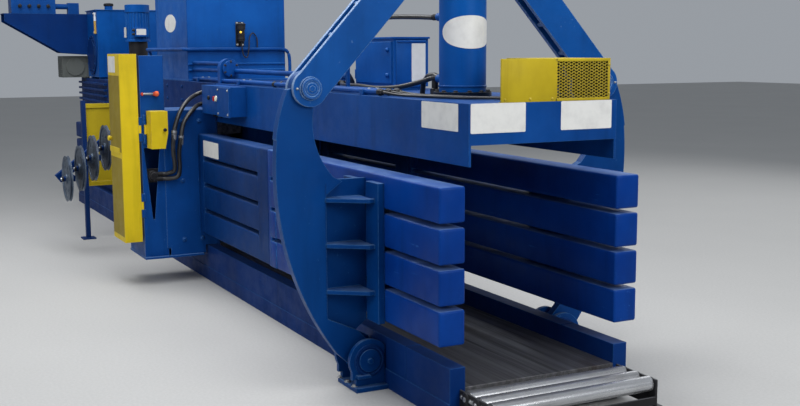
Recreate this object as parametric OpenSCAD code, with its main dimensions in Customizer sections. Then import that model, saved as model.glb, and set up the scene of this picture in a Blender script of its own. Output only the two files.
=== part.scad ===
// Horizontal recycling baler with an A-frame side squeeze, automatic wire tying and bale-length wheel.
// Frame: X runs along the machine and +X is where the bale comes out, Y is across, Z is up.
// The origin is on the floor, on the centre line, under the face of the discharge end.

/* [Bale chamber] */
// Clear width between the inner wall faces of the press box
bale_w = 842; // [760:1:900]
// Height of the chamber floor above the shop floor
floor_z = 173; // [165:1:200]
// Clear height from the chamber floor to its ceiling
bale_h = 1143; // [1100:1:1180]
// Thickness of the chamber floor plate
floor_t = 20; // [12:1:30]
// Length of the front wall section that squeezes the bale
squeeze_len = 2245; // [2000:5:2500]
// Distance from the discharge end to the rear edge of the fixed wall section
wall_len = 3770; // [3500:10:4000]
// Depth of the wall ribs
rib_d = 140; // [100:5:170]
// Height of one wall rib
rib_h = 170; // [150:1:180]
// Rib spacing from top to top
rib_pitch = 194; // [188:1:200]
// Height of the top of the wall
wall_top_z = 1132; // [1110:1:1150]
// Corner radius of the folded ribs
rib_r = 16; // [6:1:30]
// Wall plate thickness of the welded boxes
plate = 12; // [8:1:14]

/* [Base] */
// Height of the base rails
rail_h = 272; // [240:1:300]
// Width of the base rails
rail_w = 83; // [60:1:90]
// How far the rail's lower flange stands proud
flange_out = 5; // [3:1:8]
// Length of the whole frame
frame_len = 8850; // [8500:10:9200]

/* [Top beam] */
// Height of the deck on top of the beam
deck_z = 1509; // [1480:1:1540]
// Lower edge of the beam's side plates
skirt_z = 1218; // [1190:1:1250]

/* [Side squeeze] */
// Distance of the A-frame plane behind the discharge end
arm_x = -780; // [-850:5:-700]
// Thickness of the lever plates
lever_t = 50; // [40:1:60]
// Thickness of one link plate
link_t = 25; // [20:1:30]
// Running clearance beside the levers and links
side_gap = 3; // [2:0.5:5]
// Radial clearance of the link pin in the lever eye
pin_gap = 3; // [1:0.5:4]
// Diameter of the link pins
pin_d = 60; // [50:1:70]
// Diameter of the base pins
base_pin_d = 70; // [60:1:80]
// Distance of the base pins from the centre line
base_pin_y = 612; // [606:1:620]
// Height of the base pins
base_pin_z = 155; // [145:1:165]
// Distance of the lever pins from the centre line
lever_pin_y = 900; // [880:1:910]
// Height of the lever pins
lever_pin_z = 1567; // [1550:1:1580]
// Radius of the lever and link eyes
eye_r = 92; // [80:1:92]
// Distance of the crosshead pins from the centre line
head_pin_y = 100; // [98:1:120]
// Height of the crosshead pins
head_pin_z = 2440; // [2400:5:2480]
// Outside diameter of the tension cylinder
tension_d = 252; // [220:1:260]
// Diameter of the tension rod
tension_rod_d = 110; // [90:1:120]

/* [Press ram] */
// Outside diameter of the main cylinder
main_d = 220; // [200:1:240]
// Diameter of the main rod
main_rod_d = 140; // [120:1:150]
// Height of the main cylinder's axis
ram_z = 745; // [720:1:770]
// Clearance of the ram in the press box
ram_gap = 6; // [4:1:10]
// How far the ram's face stands ahead of the press box's rear at rest
ram_set = 40; // [20:5:60]
// Length of the ram
ram_len = 1950; // [1900:10:2000]

/* [Tying unit] */
// Distance of the needle line behind the wall's rear edge
needle_back = 190; // [170:5:210]
// Width of a needle
needle_w = 60; // [40:1:70]
// Height of a needle
needle_h = 24; // [16:1:28]
// Clearance of a needle in its slot
needle_gap = 10; // [6:1:14]
// Diameter of the twister shaft
twister_d = 40; // [30:1:50]
// Diameter of a wire sheave
sheave_d = 400; // [360:5:420]
// Thickness of a wire sheave
sheave_t = 26; // [18:1:34]

/* [Discharge table] */
// Diameter of the discharge rollers
roller_d = 76; // [60:1:80]
// Spacing of the discharge rollers
roller_pitch = 100; // [90:1:120]

/* [Hidden] */

$fn = 64;

// Press box faces
box_y = bale_w / 2;
box_out = box_y + plate;
ceiling_z = floor_z + bale_h;
wall_y = box_y + 14;
wall_out = wall_y + rib_d;
rail_out = wall_y + rail_w;
rib_count = 4;
wall_low_z = wall_top_z - (rib_count - 1) * rib_pitch - rib_h;
rib_gap = rib_pitch - rib_h;
box_x = -wall_len + 10;

// Heights of the five wires: under the wall, in the three gaps and over the wall
wire_z = [
    (rail_h + wall_low_z) / 2,
    wall_top_z - 2 * rib_pitch - rib_h - rib_gap / 2,
    wall_top_z - rib_pitch - rib_h - rib_gap / 2,
    wall_top_z - rib_h - rib_gap / 2,
    (wall_top_z + skirt_z) / 2
];

// Hopper throat and press box behind it
needle_x = -wall_len - needle_back;
throat_len = 950;
throat_front = needle_x - 540;
throat_rear = throat_front - throat_len;
press_rear = throat_rear - 250;
ram_face_x = press_rear + ram_set;
housing_top = 1450;
hopper_top = 2600;

// Height of the pipe that runs round the hopper
pipe_z = 1765;

// Lever and link planes, measured from the A-frame plane
link_in = lever_t / 2 + side_gap;
link_out = link_in + link_t;
lever_pin = [-lever_pin_y, lever_pin_z];
base_pin = [-base_pin_y, base_pin_z];
head_pin = [-head_pin_y, head_pin_z];
base_eye_r = 80;
bracket_t = 25;
boss_half = 70;
bracket_in = boss_half + 5;

// Points on an arc from angle a to angle b
function arc(c, r, a, b, n) = [for (i = [0:n]) c + r * [cos(a + (b - a) * i / n), sin(a + (b - a) * i / n)]];

// Sweep of a round section along points, as one closed polyhedron
function unit(v) = v / norm(v);
function tangent(p, i) = unit(p[min(i + 1, len(p) - 1)] - p[max(i - 1, 0)]);
function side_of(t) = unit(cross(t, abs(t[2]) > 0.9 ? [1, 0, 0] : [0, 0, 1]));
function ring(p, i, r, n) = let (t = tangent(p, i), u = side_of(t), v = cross(t, u))
    [for (k = [0:n - 1]) p[i] + r * (cos(360 * k / n) * u + sin(360 * k / n) * v)];

// Catmull-Rom curve through hand-chosen points
function spline_at(a, b, c, d, t) =
    0.5 * (2 * b + (c - a) * t + (2 * a - 5 * b + 4 * c - d) * t * t + (3 * b - a - 3 * c + d) * t * t * t);
function smooth(p, n) = [
    for (i = [0:len(p) - 2]) for (k = [0:n - 1])
        spline_at(p[max(i - 1, 0)], p[i], p[i + 1], p[min(i + 2, len(p) - 1)], k / n),
    p[len(p) - 1]
];

// The same curve with its first and last stretch left straight, for ends that sit square on a face
function held(p, n) = [p[0], each smooth([for (i = [1:len(p) - 2]) p[i]], n), p[len(p) - 1]];

module tube(path, d, sides = 8) {
    rings = len(path);
    polyhedron(
        points = [for (i = [0:rings - 1]) each ring(path, i, d / 2, sides)],
        faces = [
            [for (k = [0:sides - 1]) k],
            for (i = [0:rings - 2]) for (k = [0:sides - 1])
                let (a = i * sides, b = a + sides, next = (k + 1) % sides) [a + k, b + k, b + next, a + next],
            [for (k = [sides - 1:-1:0]) (rings - 1) * sides + k]
        ]
    );
}

// Box between two corners
module block(x0, x1, y0, y1, z0, z1) {
    translate([x0, y0, z0]) cube([x1 - x0, y1 - y0, z1 - z0]);
}

// Cylinders along each axis
module rod_x(y, z, x0, x1, d) {
    translate([x0, y, z]) rotate([0, 90, 0]) cylinder(d = d, h = x1 - x0);
}

module rod_y(x, z, y0, y1, d) {
    translate([x, y1, z]) rotate([90, 0, 0]) cylinder(d = d, h = y1 - y0);
}

module rod_z(x, y, z0, z1, d) {
    translate([x, y, z0]) cylinder(d = d, h = z1 - z0);
}

// Flat outlines drawn in the Y-Z plane or in the X-Z plane, given a thickness
module across(x0, x1) {
    translate([x0, 0, 0]) rotate([90, 0, 90]) linear_extrude(x1 - x0) children();
}

module along(y0, y1) {
    translate([0, y1, 0]) rotate([90, 0, 0]) linear_extrude(y1 - y0) children();
}

// Hexagon head along X, facing +X
module bolt_x(x, y, z, d, h) {
    translate([x, y, z]) rotate([0, 90, 0]) cylinder(d = d, h = h, $fn = 6);
}

module mirrored() {
    mirror([0, 1, 0]) children();
}

// Outline of one folded rib, with its two outer corners rounded
module rib_outline(y0, y1, z0, z1, r) {
    union() {
        translate([y0 + r, z0]) square([y1 - y0 - r, z1 - z0]);
        translate([y0, z0 + r]) square([r, z1 - z0 - 2 * r]);
        translate([y0 + r, z0 + r]) circle(r = r);
        translate([y0 + r, z1 - r]) circle(r = r);
    }
}

// Base rail: folded box section with a proud lower flange
module rail() {
    flange_h = 100;
    across(-frame_len, 0) difference() {
        union() {
            translate([-rail_out, 0]) square([rail_w, rail_h]);
            translate([-rail_out - flange_out, 0]) square([flange_out, flange_h]);
        }
        translate([-rail_out + plate, plate]) square([rail_w - 2 * plate, rail_h - 2 * plate]);
    }
    for (x = [-frame_len, -plate]) {
        block(x, x + plate, -rail_out, -wall_y, 0, rail_h);
    }
}

module base_rail_left() {
    color([0.05, 0.16, 0.45]) rail();
}

module base_rail_right() {
    color([0.05, 0.16, 0.45]) mirrored() rail();
}

// Floor plate on cross members
module chamber_floor() {
    member_w = 80;
    member_count = 13;
    step = (frame_len - member_w) / (member_count - 1);
    toe = 40;
    color([0.35, 0.37, 0.4]) union() {
        block(-frame_len, 0, -wall_y, wall_y, floor_z - floor_t, floor_z);
        block(-member_w, toe, -wall_y, wall_y, 0, plate);
        for (i = [0:member_count - 1]) {
            x = -frame_len + i * step;
            difference() {
                block(x, x + member_w, -wall_y, wall_y, 0, floor_z - floor_t);
                block(x + plate, x + member_w + 1, -wall_y - 1, wall_y + 1, plate, floor_z - floor_t - plate);
            }
        }
    }
}

// Screen guard box over the star wheel
guard_x0 = -430;
guard_y0 = -246;
guard_y1 = 380;
guard_split = 53;
guard_top = 1712;
guard_t = 3;
guard_frame = 14;

// Star wheel place in the beam
star_x = -222;
star_y = 190;
star_z = (ceiling_z + guard_top - guard_t) / 2;
star_r = (guard_top - guard_t - ceiling_z) / 2 - 3;
star_t = 12;
star_gap = 12;
star_shaft_d = 30;
lug_y = 80;
lug_t = 12;

// Box girder over the chamber, with hanging side plates
module top_beam() {
    rib_step = 700;
    color([0.06, 0.2, 0.52]) difference() {
        union() {
            for (s = [-1, 1]) {
                side = s * (box_y - plate / 2);
                block(box_x, 0, side - plate / 2, side + plate / 2, skirt_z, deck_z);
                // Lugs of the star wheel shaft
                lug = star_y + s * lug_y;
                along(lug - lug_t / 2, lug + lug_t / 2) translate([star_x - 35, deck_z - plate])
                    square([70, plate + 30]);
            }
            block(box_x, 0, -box_y, box_y, deck_z - plate, deck_z);
            block(box_x, 0, -box_y + plate, box_y - plate, ceiling_z, ceiling_z + plate);
            block(-plate, 0, -box_y + plate, box_y - plate, ceiling_z + plate, deck_z - plate);
            for (x = [-rib_step:-rib_step:box_x + plate]) {
                block(x - plate, x, -box_y + plate, box_y - plate, ceiling_z + plate, deck_z - plate);
            }
        }
        // Slot of the star wheel, wider at its hub, and the shaft's bore in the lugs
        block(star_x - star_r - star_gap, star_x + star_r + star_gap,
            star_y - star_t / 2 - 5, star_y + star_t / 2 + 5, ceiling_z - 1, deck_z + 1);
        block(star_x - 45, star_x + 45, star_y - lug_y + 12, star_y + lug_y - 12, deck_z - plate - 1, deck_z + 1);
        rod_y(star_x, star_z, star_y - lug_y - 20, star_y + lug_y + 20, star_shaft_d + 0.6);
    }
}

// Fixed rear wall section: a deep panel with three long wire slots
module fixed_wall() {
    panel_end = 210;
    rear_end = 130;
    color([0.07, 0.2, 0.5]) difference() {
        across(-wall_len, -squeeze_len - 5) rib_outline(-wall_out, -wall_y, wall_low_z, wall_top_z, rib_r);
        for (i = [1:rib_count - 1]) {
            block(-wall_len + rear_end, -squeeze_len - panel_end, -wall_out - 1, -wall_y + 1,
                wire_z[i] - rib_gap / 2, wire_z[i] + rib_gap / 2);
        }
    }
}

module fixed_wall_left() {
    fixed_wall();
}

module fixed_wall_right() {
    mirrored() fixed_wall();
}

// Squeezing wall section: four folded ribs welded to a slotted strip at the rear
strip_w = 125;

module squeeze_ribs() {
    color([0.07, 0.22, 0.55]) union() {
        for (i = [0:rib_count - 1]) {
            z1 = wall_top_z - i * rib_pitch;
            across(-squeeze_len + strip_w, 0) rib_outline(-wall_out, -wall_y, z1 - rib_h, z1, rib_r);
        }
        difference() {
            across(-squeeze_len, -squeeze_len + strip_w)
                rib_outline(-wall_out - 4, -wall_y, wall_low_z, wall_top_z, rib_r);
            for (i = [1:rib_count - 1]) {
                block(-squeeze_len + 45, -squeeze_len + strip_w + 1, -wall_out - 10, -wall_y + 1,
                    wire_z[i] - rib_gap / 2, wire_z[i] + rib_gap / 2);
            }
        }
    }
}

module squeeze_ribs_left() {
    squeeze_ribs();
}

module squeeze_ribs_right() {
    mirrored() squeeze_ribs();
}

// Outline of the lever plate: eye at the top, long bow outwards, leg down to the base eye
module lever_outline() {
    union() {
        polygon(concat(
            [lever_pin + [-eye_r, 0]],
            arc([-164, 1203], 920, 157, 172.9, 8),
            arc([535, 1154], 1615, 174.3, 216.6, 24),
            [base_pin + [-55, -52], base_pin + [60, 50], [-640, 300], [leg_y, 380]],
            [[leg_y, 1025], [-722, 1092]],
            arc([-466, 1398], 415, 222.7, 171, 12),
            [lever_pin + [20, -60]]
        ));
        translate(lever_pin) circle(r = eye_r);
        translate(base_pin) circle(r = base_eye_r);
    }
}

// One lever weldment: plate, base boss, pocket web, gussets and the two pad bars on the wall ribs
pad_y = -wall_out - 35;
pad_far = 70;
pad_w = 140;
leg_y = -812;

module gusset(z) {
    reach = pad_far + pad_w / 2 + 30;
    root = 10 - lever_t / 2;
    for (s = [-1, 1]) {
        translate([arm_x, 0, z]) linear_extrude(20) difference() {
            polygon([
                [root, leg_y - 5], [root, pad_y + 1], [s * reach, pad_y + 1],
                [s * reach, pad_y - 30], [s * (lever_t / 2 + 12), leg_y - 5]
            ]);
            translate([s * (reach + 170), -880]) circle(r = 205);
        }
    }
}

module lever() {
    color([0.06, 0.22, 0.5]) difference() {
        union() {
            across(arm_x - lever_t / 2, arm_x + lever_t / 2) lever_outline();
            rod_x(-base_pin_y, base_pin_z, arm_x - boss_half, arm_x + boss_half, 2 * base_eye_r - 8);
            across(arm_x - lever_t / 2, arm_x - lever_t / 2 + 15)
                polygon([
                    [leg_y - 1, 379], [leg_y - 1, 1100], [-wall_out, 1100], [-wall_out, 350], [-639, 299]
                ]);
            for (z = [990, 755, 515]) {
                gusset(z);
            }
            for (s = [-1, 1]) {
                block(arm_x + (s > 0 ? pad_far : -pad_far - pad_w), arm_x + (s > 0 ? pad_far + pad_w : -pad_far),
                    pad_y, -wall_out, wall_low_z - 10, wall_top_z - 40);
            }
        }
        rod_x(-lever_pin_y, lever_pin_z, arm_x - 100, arm_x + 100, pin_d + 2 * pin_gap);
        rod_x(-base_pin_y, base_pin_z, arm_x - 200, arm_x + 200, base_pin_d + 1);
    }
}

module lever_left() {
    lever();
}

module lever_right() {
    mirrored() lever();
}

// Base pivot bracket: two round-topped plates on a foot, beside the rail
bracket_r = 112;

module bracket_outline() {
    union() {
        intersection() {
            translate(base_pin) circle(r = bracket_r);
            translate([-base_pin_y - bracket_r, 60]) square([base_pin_y + bracket_r - rail_out - flange_out, 300]);
        }
        translate([-base_pin_y - bracket_r + 14, 60])
            square([base_pin_y + bracket_r - 14 - rail_out - flange_out, base_pin_z - 60]);
        translate([-base_pin_y - 78, 0]) square([base_pin_y + 78 - rail_out - flange_out, 61]);
    }
}

module pivot_bracket() {
    color([0.05, 0.2, 0.52]) difference() {
        union() {
            for (x = [arm_x - bracket_in - bracket_t, arm_x + bracket_in]) {
                across(x, x + bracket_t) bracket_outline();
            }
            // Step and foot in front of the front plate
            block(arm_x + bracket_in + bracket_t, arm_x + bracket_in + bracket_t + 30,
                -base_pin_y - 78, -base_pin_y - 5, 70, 84);
            block(arm_x - bracket_in - bracket_t, arm_x + bracket_in + bracket_t + 40,
                -base_pin_y - 92, -rail_out - flange_out, 0, 24);
        }
        rod_x(-base_pin_y, base_pin_z, arm_x - 200, arm_x + 200, base_pin_d);
    }
}

module pivot_bracket_left() {
    pivot_bracket();
}

module pivot_bracket_right() {
    mirrored() pivot_bracket();
}

// Base pins with round heads
module base_pins() {
    head_t = 10;
    reach = bracket_in + bracket_t;
    color([0.06, 0.22, 0.55]) for (y = [-base_pin_y, base_pin_y]) {
        union() {
            rod_x(y, base_pin_z, arm_x - reach - head_t, arm_x + reach + head_t, base_pin_d - 0.6);
            rod_x(y, base_pin_z, arm_x + reach + 0.2, arm_x + reach + head_t, base_pin_d + 50);
            rod_x(y, base_pin_z, arm_x - reach - head_t, arm_x - reach - 0.2, base_pin_d + 50);
            bolt_x(arm_x + reach + head_t, y, base_pin_z, 30, 12);
        }
    }
}

// A-frame link: two plates, spacer bars, and the pin with its keeper rings
link_v = head_pin - lever_pin;
link_len = norm(link_v);
link_a = atan2(link_v[1], link_v[0]);

module link() {
    spacer_t = 16;
    color([0.1, 0.3, 0.58]) union() {
        for (x = [-link_out, link_in]) {
            translate([0, -lever_pin_y, lever_pin_z]) rotate([link_a, 0, 0]) across(arm_x + x, arm_x + x + link_t)
                difference() {
                    union() {
                        translate([0, -eye_r + 2]) square([link_len, 2 * eye_r - 4]);
                        circle(r = eye_r);
                        translate([link_len, 0]) circle(r = eye_r);
                    }
                    translate([link_len, 0]) circle(d = pin_d + 0.6);
                }
        }
        // Spacer bars between the plates
        for (u = [0.24, 0.42, 0.6, 0.78]) {
            translate([arm_x - link_in, -lever_pin_y, lever_pin_z]) rotate([link_a, 0, 0])
                translate([0, link_len * u, -eye_r + 12]) cube([2 * link_in, spacer_t, 2 * eye_r - 24]);
        }
        // Pin and its rings
        rod_x(-lever_pin_y, lever_pin_z, arm_x - link_out - 14, arm_x + link_out + 14, pin_d);
        for (x = [arm_x - link_out - 10, arm_x + link_out]) {
            rod_x(-lever_pin_y, lever_pin_z, x, x + 10, 2 * pin_d - 4);
        }
        bolt_x(arm_x + link_out + 14, -lever_pin_y, lever_pin_z, 34, 12);
    }
}

module link_left() {
    link();
}

module link_right() {
    mirrored() link();
}

// Crosshead plate with two pins, on the tension rod
module crosshead() {
    neck = eye_r + 18;
    color([0.1, 0.3, 0.58]) union() {
        across(arm_x - lever_t / 2, arm_x + lever_t / 2) union() {
            translate([-head_pin_y, head_pin_z - 60]) square([2 * head_pin_y, 120]);
            translate([-80, head_pin_z - neck]) square([160, neck - 59]);
            for (s = [-1, 1]) {
                translate([s * head_pin_y, head_pin_z]) circle(r = 60);
            }
        }
        rod_z(arm_x, 0, head_pin_z - neck - 60, head_pin_z - neck, tension_rod_d + 20);
        for (y = [-head_pin_y, head_pin_y]) {
            rod_x(y, head_pin_z, arm_x - link_out - 12, arm_x + link_out + 12, pin_d);
            for (x = [arm_x - link_out - 12, arm_x + link_out + 4]) {
                rod_x(y, head_pin_z, x, x + 8, pin_d + 40);
            }
        }
    }
    color([0.75, 0.77, 0.8]) union() {
        rod_z(arm_x, 0, deck_z + 330, head_pin_z - neck - 60, tension_rod_d);
        rod_z(arm_x, 0, deck_z + 330, deck_z + 390, tension_d - 52);
    }
}

// Upright tension cylinder on the deck
module tension_barrel() {
    barrel_top = 2150;
    base_t = 22;
    color([0.08, 0.25, 0.58]) difference() {
        union() {
            rod_z(arm_x, 0, deck_z, deck_z + base_t, tension_d + 60);
            rod_z(arm_x, 0, deck_z, barrel_top, tension_d);
            rod_z(arm_x, 0, barrel_top - 70, barrel_top, tension_d + 24);
            for (z = [deck_z + 90, 1930]) {
                rod_x(-60, z, arm_x - tension_d / 2 - 30, arm_x - 60, 44);
            }
        }
        rod_z(arm_x, 0, deck_z + 60, barrel_top - 60, tension_d - 50);
        rod_z(arm_x, 0, barrel_top - 70, barrel_top + 1, tension_rod_d + 0.8);
    }
}

// Sheet box, solid on one side, framed for the mesh on the other
module screen_guard() {
    color([0.75, 0.65, 0.15]) difference() {
        block(guard_x0, -2, guard_y0, guard_y1, deck_z, guard_top);
        block(guard_x0 + guard_t, -2 - guard_t, guard_y0 + guard_t, guard_y1 - guard_t,
            deck_z - 1, guard_top - guard_t);
        block(-20, 10, guard_split + guard_frame, guard_y1 - guard_frame,
            deck_z + guard_frame, guard_top - guard_frame);
    }
}

// Expanded-metal panel: two crossing sets of slanted strands in a thin border
module screen_mesh() {
    y0 = guard_split + guard_frame;
    y1 = guard_y1 - guard_frame;
    z0 = deck_z + guard_frame;
    z1 = guard_top - guard_frame;
    strand = 3;
    pitch = 22;
    lean = 62;
    span = y1 - y0 + (z1 - z0) * tan(lean);
    color([0.75, 0.65, 0.15]) union() {
        for (s = [0, 1]) {
            across(-5 - s * 1.5, -3.5 - s * 1.5 + 0.2) intersection() {
                translate([y0, z0]) square([y1 - y0, z1 - z0]);
                for (u = [-span:pitch * 1.9:span]) {
                    translate([s > 0 ? y0 + u : y1 - u, z0]) rotate(s > 0 ? 90 - lean : 90 + lean)
                        translate([-10, -strand / 2]) square([600, strand]);
                }
            }
        }
        difference() {
            across(-8, -5) translate([y0 - 8, z0 - 8]) square([y1 - y0 + 16, z1 - z0 + 16]);
            across(-9, -4) translate([y0 + 2, z0 + 2]) square([y1 - y0 - 4, z1 - z0 - 4]);
        }
    }
}

// Toothed wheel that rolls on the bale and counts its length
module star_wheel() {
    teeth = 12;
    hub_d = 60;
    hub_half = 30;
    root = 0.84;
    hole_at = 0.52;
    hole_r = 0.17;
    color([0.1, 0.3, 0.6]) union() {
        along(star_y - star_t / 2, star_y + star_t / 2) translate([star_x, star_z]) difference() {
            polygon([for (i = [0:2 * teeth - 1]) star_r * (i % 2 == 0 ? 1 : root)
                * [cos(180 * i / teeth), sin(180 * i / teeth)]]);
            for (a = [30:60:330]) {
                rotate(a) translate([star_r * hole_at, 0]) circle(r = star_r * hole_r);
            }
        }
        rod_y(star_x, star_z, star_y - hub_half, star_y + hub_half, hub_d);
        rod_y(star_x, star_z, star_y - lug_y - lug_t, star_y + lug_y + lug_t, star_shaft_d);
    }
}

// Front end and lower edge of the ribs on the press box
ribs_front = needle_x - 330;
ribs_low = wall_top_z - (rib_count - 1) * rib_pitch - rib_h;

// Side plate outline of the press box, with the slots of the needles
module charge_side() {
    difference() {
        block(press_rear, box_x, -box_out, -box_y, floor_z, deck_z);
        for (z = wire_z) {
            slot_w = needle_w / 2 + needle_gap;
            slot_h = needle_h / 2 + needle_gap;
            block(needle_x - slot_w, needle_x + slot_w, -box_out - 1, -box_y + 1, z - slot_h, z + slot_h);
        }
    }
    for (i = [0:rib_count - 1]) {
        z1 = wall_top_z - i * rib_pitch;
        across(press_rear, ribs_front) rib_outline(-rail_out, -box_out, z1 - rib_h, z1, rib_r);
    }
    // Upright plate that closes the ends of the ribs beside the tying unit
    block(ribs_front, ribs_front + plate, -rail_out, -box_out, ribs_low, wall_top_z);
}

// Press box under the hopper
module charge_box() {
    roof_rear = throat_front;
    color([0.07, 0.22, 0.52]) union() {
        charge_side();
        mirrored() charge_side();
        block(roof_rear, box_x, -box_y, box_y, deck_z - plate, deck_z);
        block(roof_rear, box_x, -box_y, box_y, ceiling_z, ceiling_z + plate);
        block(roof_rear, roof_rear + plate, -box_y, box_y, ceiling_z + plate, deck_z - plate);
        block(press_rear, throat_rear, -box_y, box_y, deck_z - plate, deck_z);
        block(press_rear, throat_rear, -box_y, box_y, ceiling_z, ceiling_z + plate);
        block(throat_rear - plate, throat_rear, -box_y, box_y, ceiling_z + plate, deck_z - plate);
    }
}

// Hopper: four plates standing on the press box, with a foot flange and stiffening folds
module hopper() {
    wall = 6;
    foot = 50;
    y = box_y;
    color([0.12, 0.36, 0.68]) difference() {
        union() {
            block(throat_rear - 4, throat_front + 4, -y, y, deck_z, hopper_top);
            block(throat_rear - foot, throat_front + foot, -box_out, box_out, deck_z, deck_z + 12);
            for (z = [1590, 1640]) {
                block(throat_front + 4, throat_front + 16, -y, y, z, z + 12);
            }
            block(throat_rear - 44, throat_front + 44, -y - 30, y + 30, hopper_top - 40, hopper_top);
        }
        block(throat_rear - 4 + wall, throat_front + 4 - wall, -y + wall, y - wall, deck_z - 1, hopper_top + 1);
    }
}

// Sensor on the hopper face, with its bracket
eye_x = throat_front + 4;
eye_y = 25;

// Its cable hangs in a loop and runs back into the pipe under it
eye_cable = [
    [eye_x + 42, eye_y, 1835], [eye_x + 50, eye_y + 3, 1775], [eye_x + 51, eye_y + 14, 1715],
    [eye_x + 51, eye_y + 45, 1700], [eye_x + 49, eye_y + 62, 1770], [eye_x + 38, eye_y + 72, 1860],
    [eye_x + 30, eye_y + 105, 1900], [eye_x + 24, eye_y + 140, 1860], [eye_x + 24, eye_y + 145, pipe_z + 45],
    [eye_x + 24, eye_y + 145, pipe_z + 15.3]
];

module photo_eye() {
    color([0.15, 0.15, 0.16]) union() {
        block(eye_x, eye_x + 8, eye_y - 35, eye_y + 35, 1790, 1990);
        rod_z(eye_x + 42, eye_y, 1830, 1925, 56);
        rod_z(eye_x + 42, eye_y, 1925, 1965, 70);
        block(eye_x + 8, eye_x + 42, eye_y - 14, eye_y + 14, 1850, 1900);
    }
    color([0.08, 0.08, 0.09]) tube(held(eye_cable, 3), 11, 6);
}

// Ram housing behind the press box
module housing_side() {
    louvre_pitch = 62;
    block(-frame_len, press_rear, -box_out, -box_y, floor_z, housing_top);
    for (i = [0:rib_count - 2]) {
        z1 = wall_top_z - (i + 1) * rib_pitch;
        across(-frame_len, press_rear) rib_outline(-rail_out, -box_out, z1 - rib_h, z1, rib_r);
    }
    for (i = [0:3]) {
        z = 1205 + i * louvre_pitch;
        block(-frame_len, tank_x1 + 440, -box_out - 34, -box_out, z, z + 22);
    }
}

module ram_housing() {
    color([0.06, 0.18, 0.42]) union() {
        housing_side();
        mirrored() housing_side();
        block(-frame_len, press_rear, -box_y, box_y, housing_top - plate, housing_top);
        block(-frame_len, -frame_len + 30, -box_y, box_y, floor_z, housing_top - plate);
    }
}

// Ram: hollow box with a comb face that lets the needles past
comb_d = 330;

module ram() {
    z0 = floor_z + 3;
    z1 = ceiling_z - ram_gap;
    y = box_y - ram_gap;
    back = ram_face_x - comb_d;
    wall = 16;
    slot_h = needle_h + 2 * needle_gap + 10;
    color([0.5, 0.52, 0.55]) union() {
        difference() {
            block(back, ram_face_x, -y, y, z0, z1);
            for (z = wire_z) {
                block(back + 60, ram_face_x + 1, -y - 1, y + 1, z - slot_h / 2, z + slot_h / 2);
            }
            // Hollow bars between the needle slots
            for (i = [0:len(wire_z)]) {
                low = (i == 0 ? z0 : wire_z[i - 1] + slot_h / 2) + wall;
                high = (i == len(wire_z) ? z1 : wire_z[i] - slot_h / 2) - wall;
                if (high - low > wall) {
                    block(back + 60, ram_face_x - 2 * wall, -y - 1, y + 1, low, high);
                }
            }
        }
        difference() {
            block(ram_face_x - ram_len, back, -y, y, z0, z1);
            block(ram_face_x - ram_len - 1, back + 1, -y + wall, y - wall, z0 + wall, z1 - wall);
        }
        rod_x(0, ram_z, main_rod_rear, back + 5, main_rod_d);
        rod_x(0, ram_z, main_rod_rear, main_rod_rear + 80, main_bore - 2);
    }
}

// Main press cylinder, lying inside the hollow ram
main_front = press_rear - 650;
main_rear = -frame_len + 350;
main_bore = main_d - 40;
main_rod_rear = main_rear + 110;

module main_cylinder() {
    color([0.2, 0.24, 0.3]) difference() {
        union() {
            rod_x(0, ram_z, main_rear, main_front, main_d);
            rod_x(0, ram_z, main_front - 110, main_front, main_d + 40);
            rod_x(0, ram_z, main_rear, main_rear + 60, main_d + 40);
            block(-frame_len + 30, main_rear, -60, 60, ram_z - 90, ram_z + 90);
        }
        rod_x(0, ram_z, main_rear + 60, main_front - 100, main_bore);
        rod_x(0, ram_z, main_front - 101, main_front + 1, main_rod_d + 1);
    }
}

// Tying unit on the visible side: column, back plate, shelves and foot flange
tier_front = -wall_len - 10;
tier_back = needle_x - 280;
tier_low = 215;
tier_top = ceiling_z - 16;
twister_y = -650;
col_y0 = -1000;
col_y1 = -820;
col_top = 1720;

module tier_frame() {
    t = 10;
    shelf_hole = twister_d + 6;
    color([0.06, 0.24, 0.56]) difference() {
        union() {
            // Front column with its V-shaped window
            difference() {
                block(tier_front - 200, tier_front, col_y0, col_y1, tier_low, col_top);
                block(tier_front - 200 + t, tier_front - t, col_y0 + t, col_y1 - t, tier_low - 1, col_top - t);
                across(tier_front - 2 * t, tier_front + 1)
                    polygon([[-985, 1040], [-865, 1040], [-918, 500], [-932, 500]]);
            }
            // Front plate beside the column
            block(tier_front, -wall_len, col_y1 + 15, -rail_out - flange_out - 10, tier_low, tier_top + 12);
            block(tier_front, -wall_len, -rail_out - flange_out - 10, -box_out, rail_h + 3, tier_top + 12);
            block(tier_front, -wall_len, col_y1 - 12, col_y1 + 15, tier_low + 60, tier_top + 12);
            // Back plate and top plate
            block(tier_back, tier_back + t, col_y0, -rail_out - flange_out - 10, tier_low, tier_top);
            block(tier_back, tier_back + t, -rail_out - flange_out - 10, -box_out, rail_h + 3, tier_top);
            block(tier_back, tier_front, col_y1, -box_out, tier_top, tier_top + 12);
            block(tier_back + t, tier_front - 200, col_y0, col_y0 + t, tier_low, tier_top);
            // Shelves of the five twister stations
            for (z = wire_z) {
                block(tier_back + t, tier_front, col_y1, -560, z - 62, z - 52);
            }
        }
        rod_z(needle_x, twister_y, tier_low - 1, tier_top - 1, shelf_hole);
    }
    // Hinge knuckles of the two guards
    color([0.06, 0.24, 0.56]) union() {
        for (z = [upper_hinge_z, lower_hinge_z]) {
            column_knuckles(hinge_x, hinge_y, z, knuckle_h, hinge_y, col_y0 + 12);
        }
        column_knuckles(small_hinge_x, small_hinge_y, small_hinge_z, small_knuckle_h,
            small_hinge_y - 14, small_hinge_y);
    }
    // Foot flange
    color([0.09, 0.3, 0.62])
        block(tier_back, tier_front + 30, col_y0 - 5, -rail_out - flange_out - 30, tier_low - 15, tier_low);
}

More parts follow.
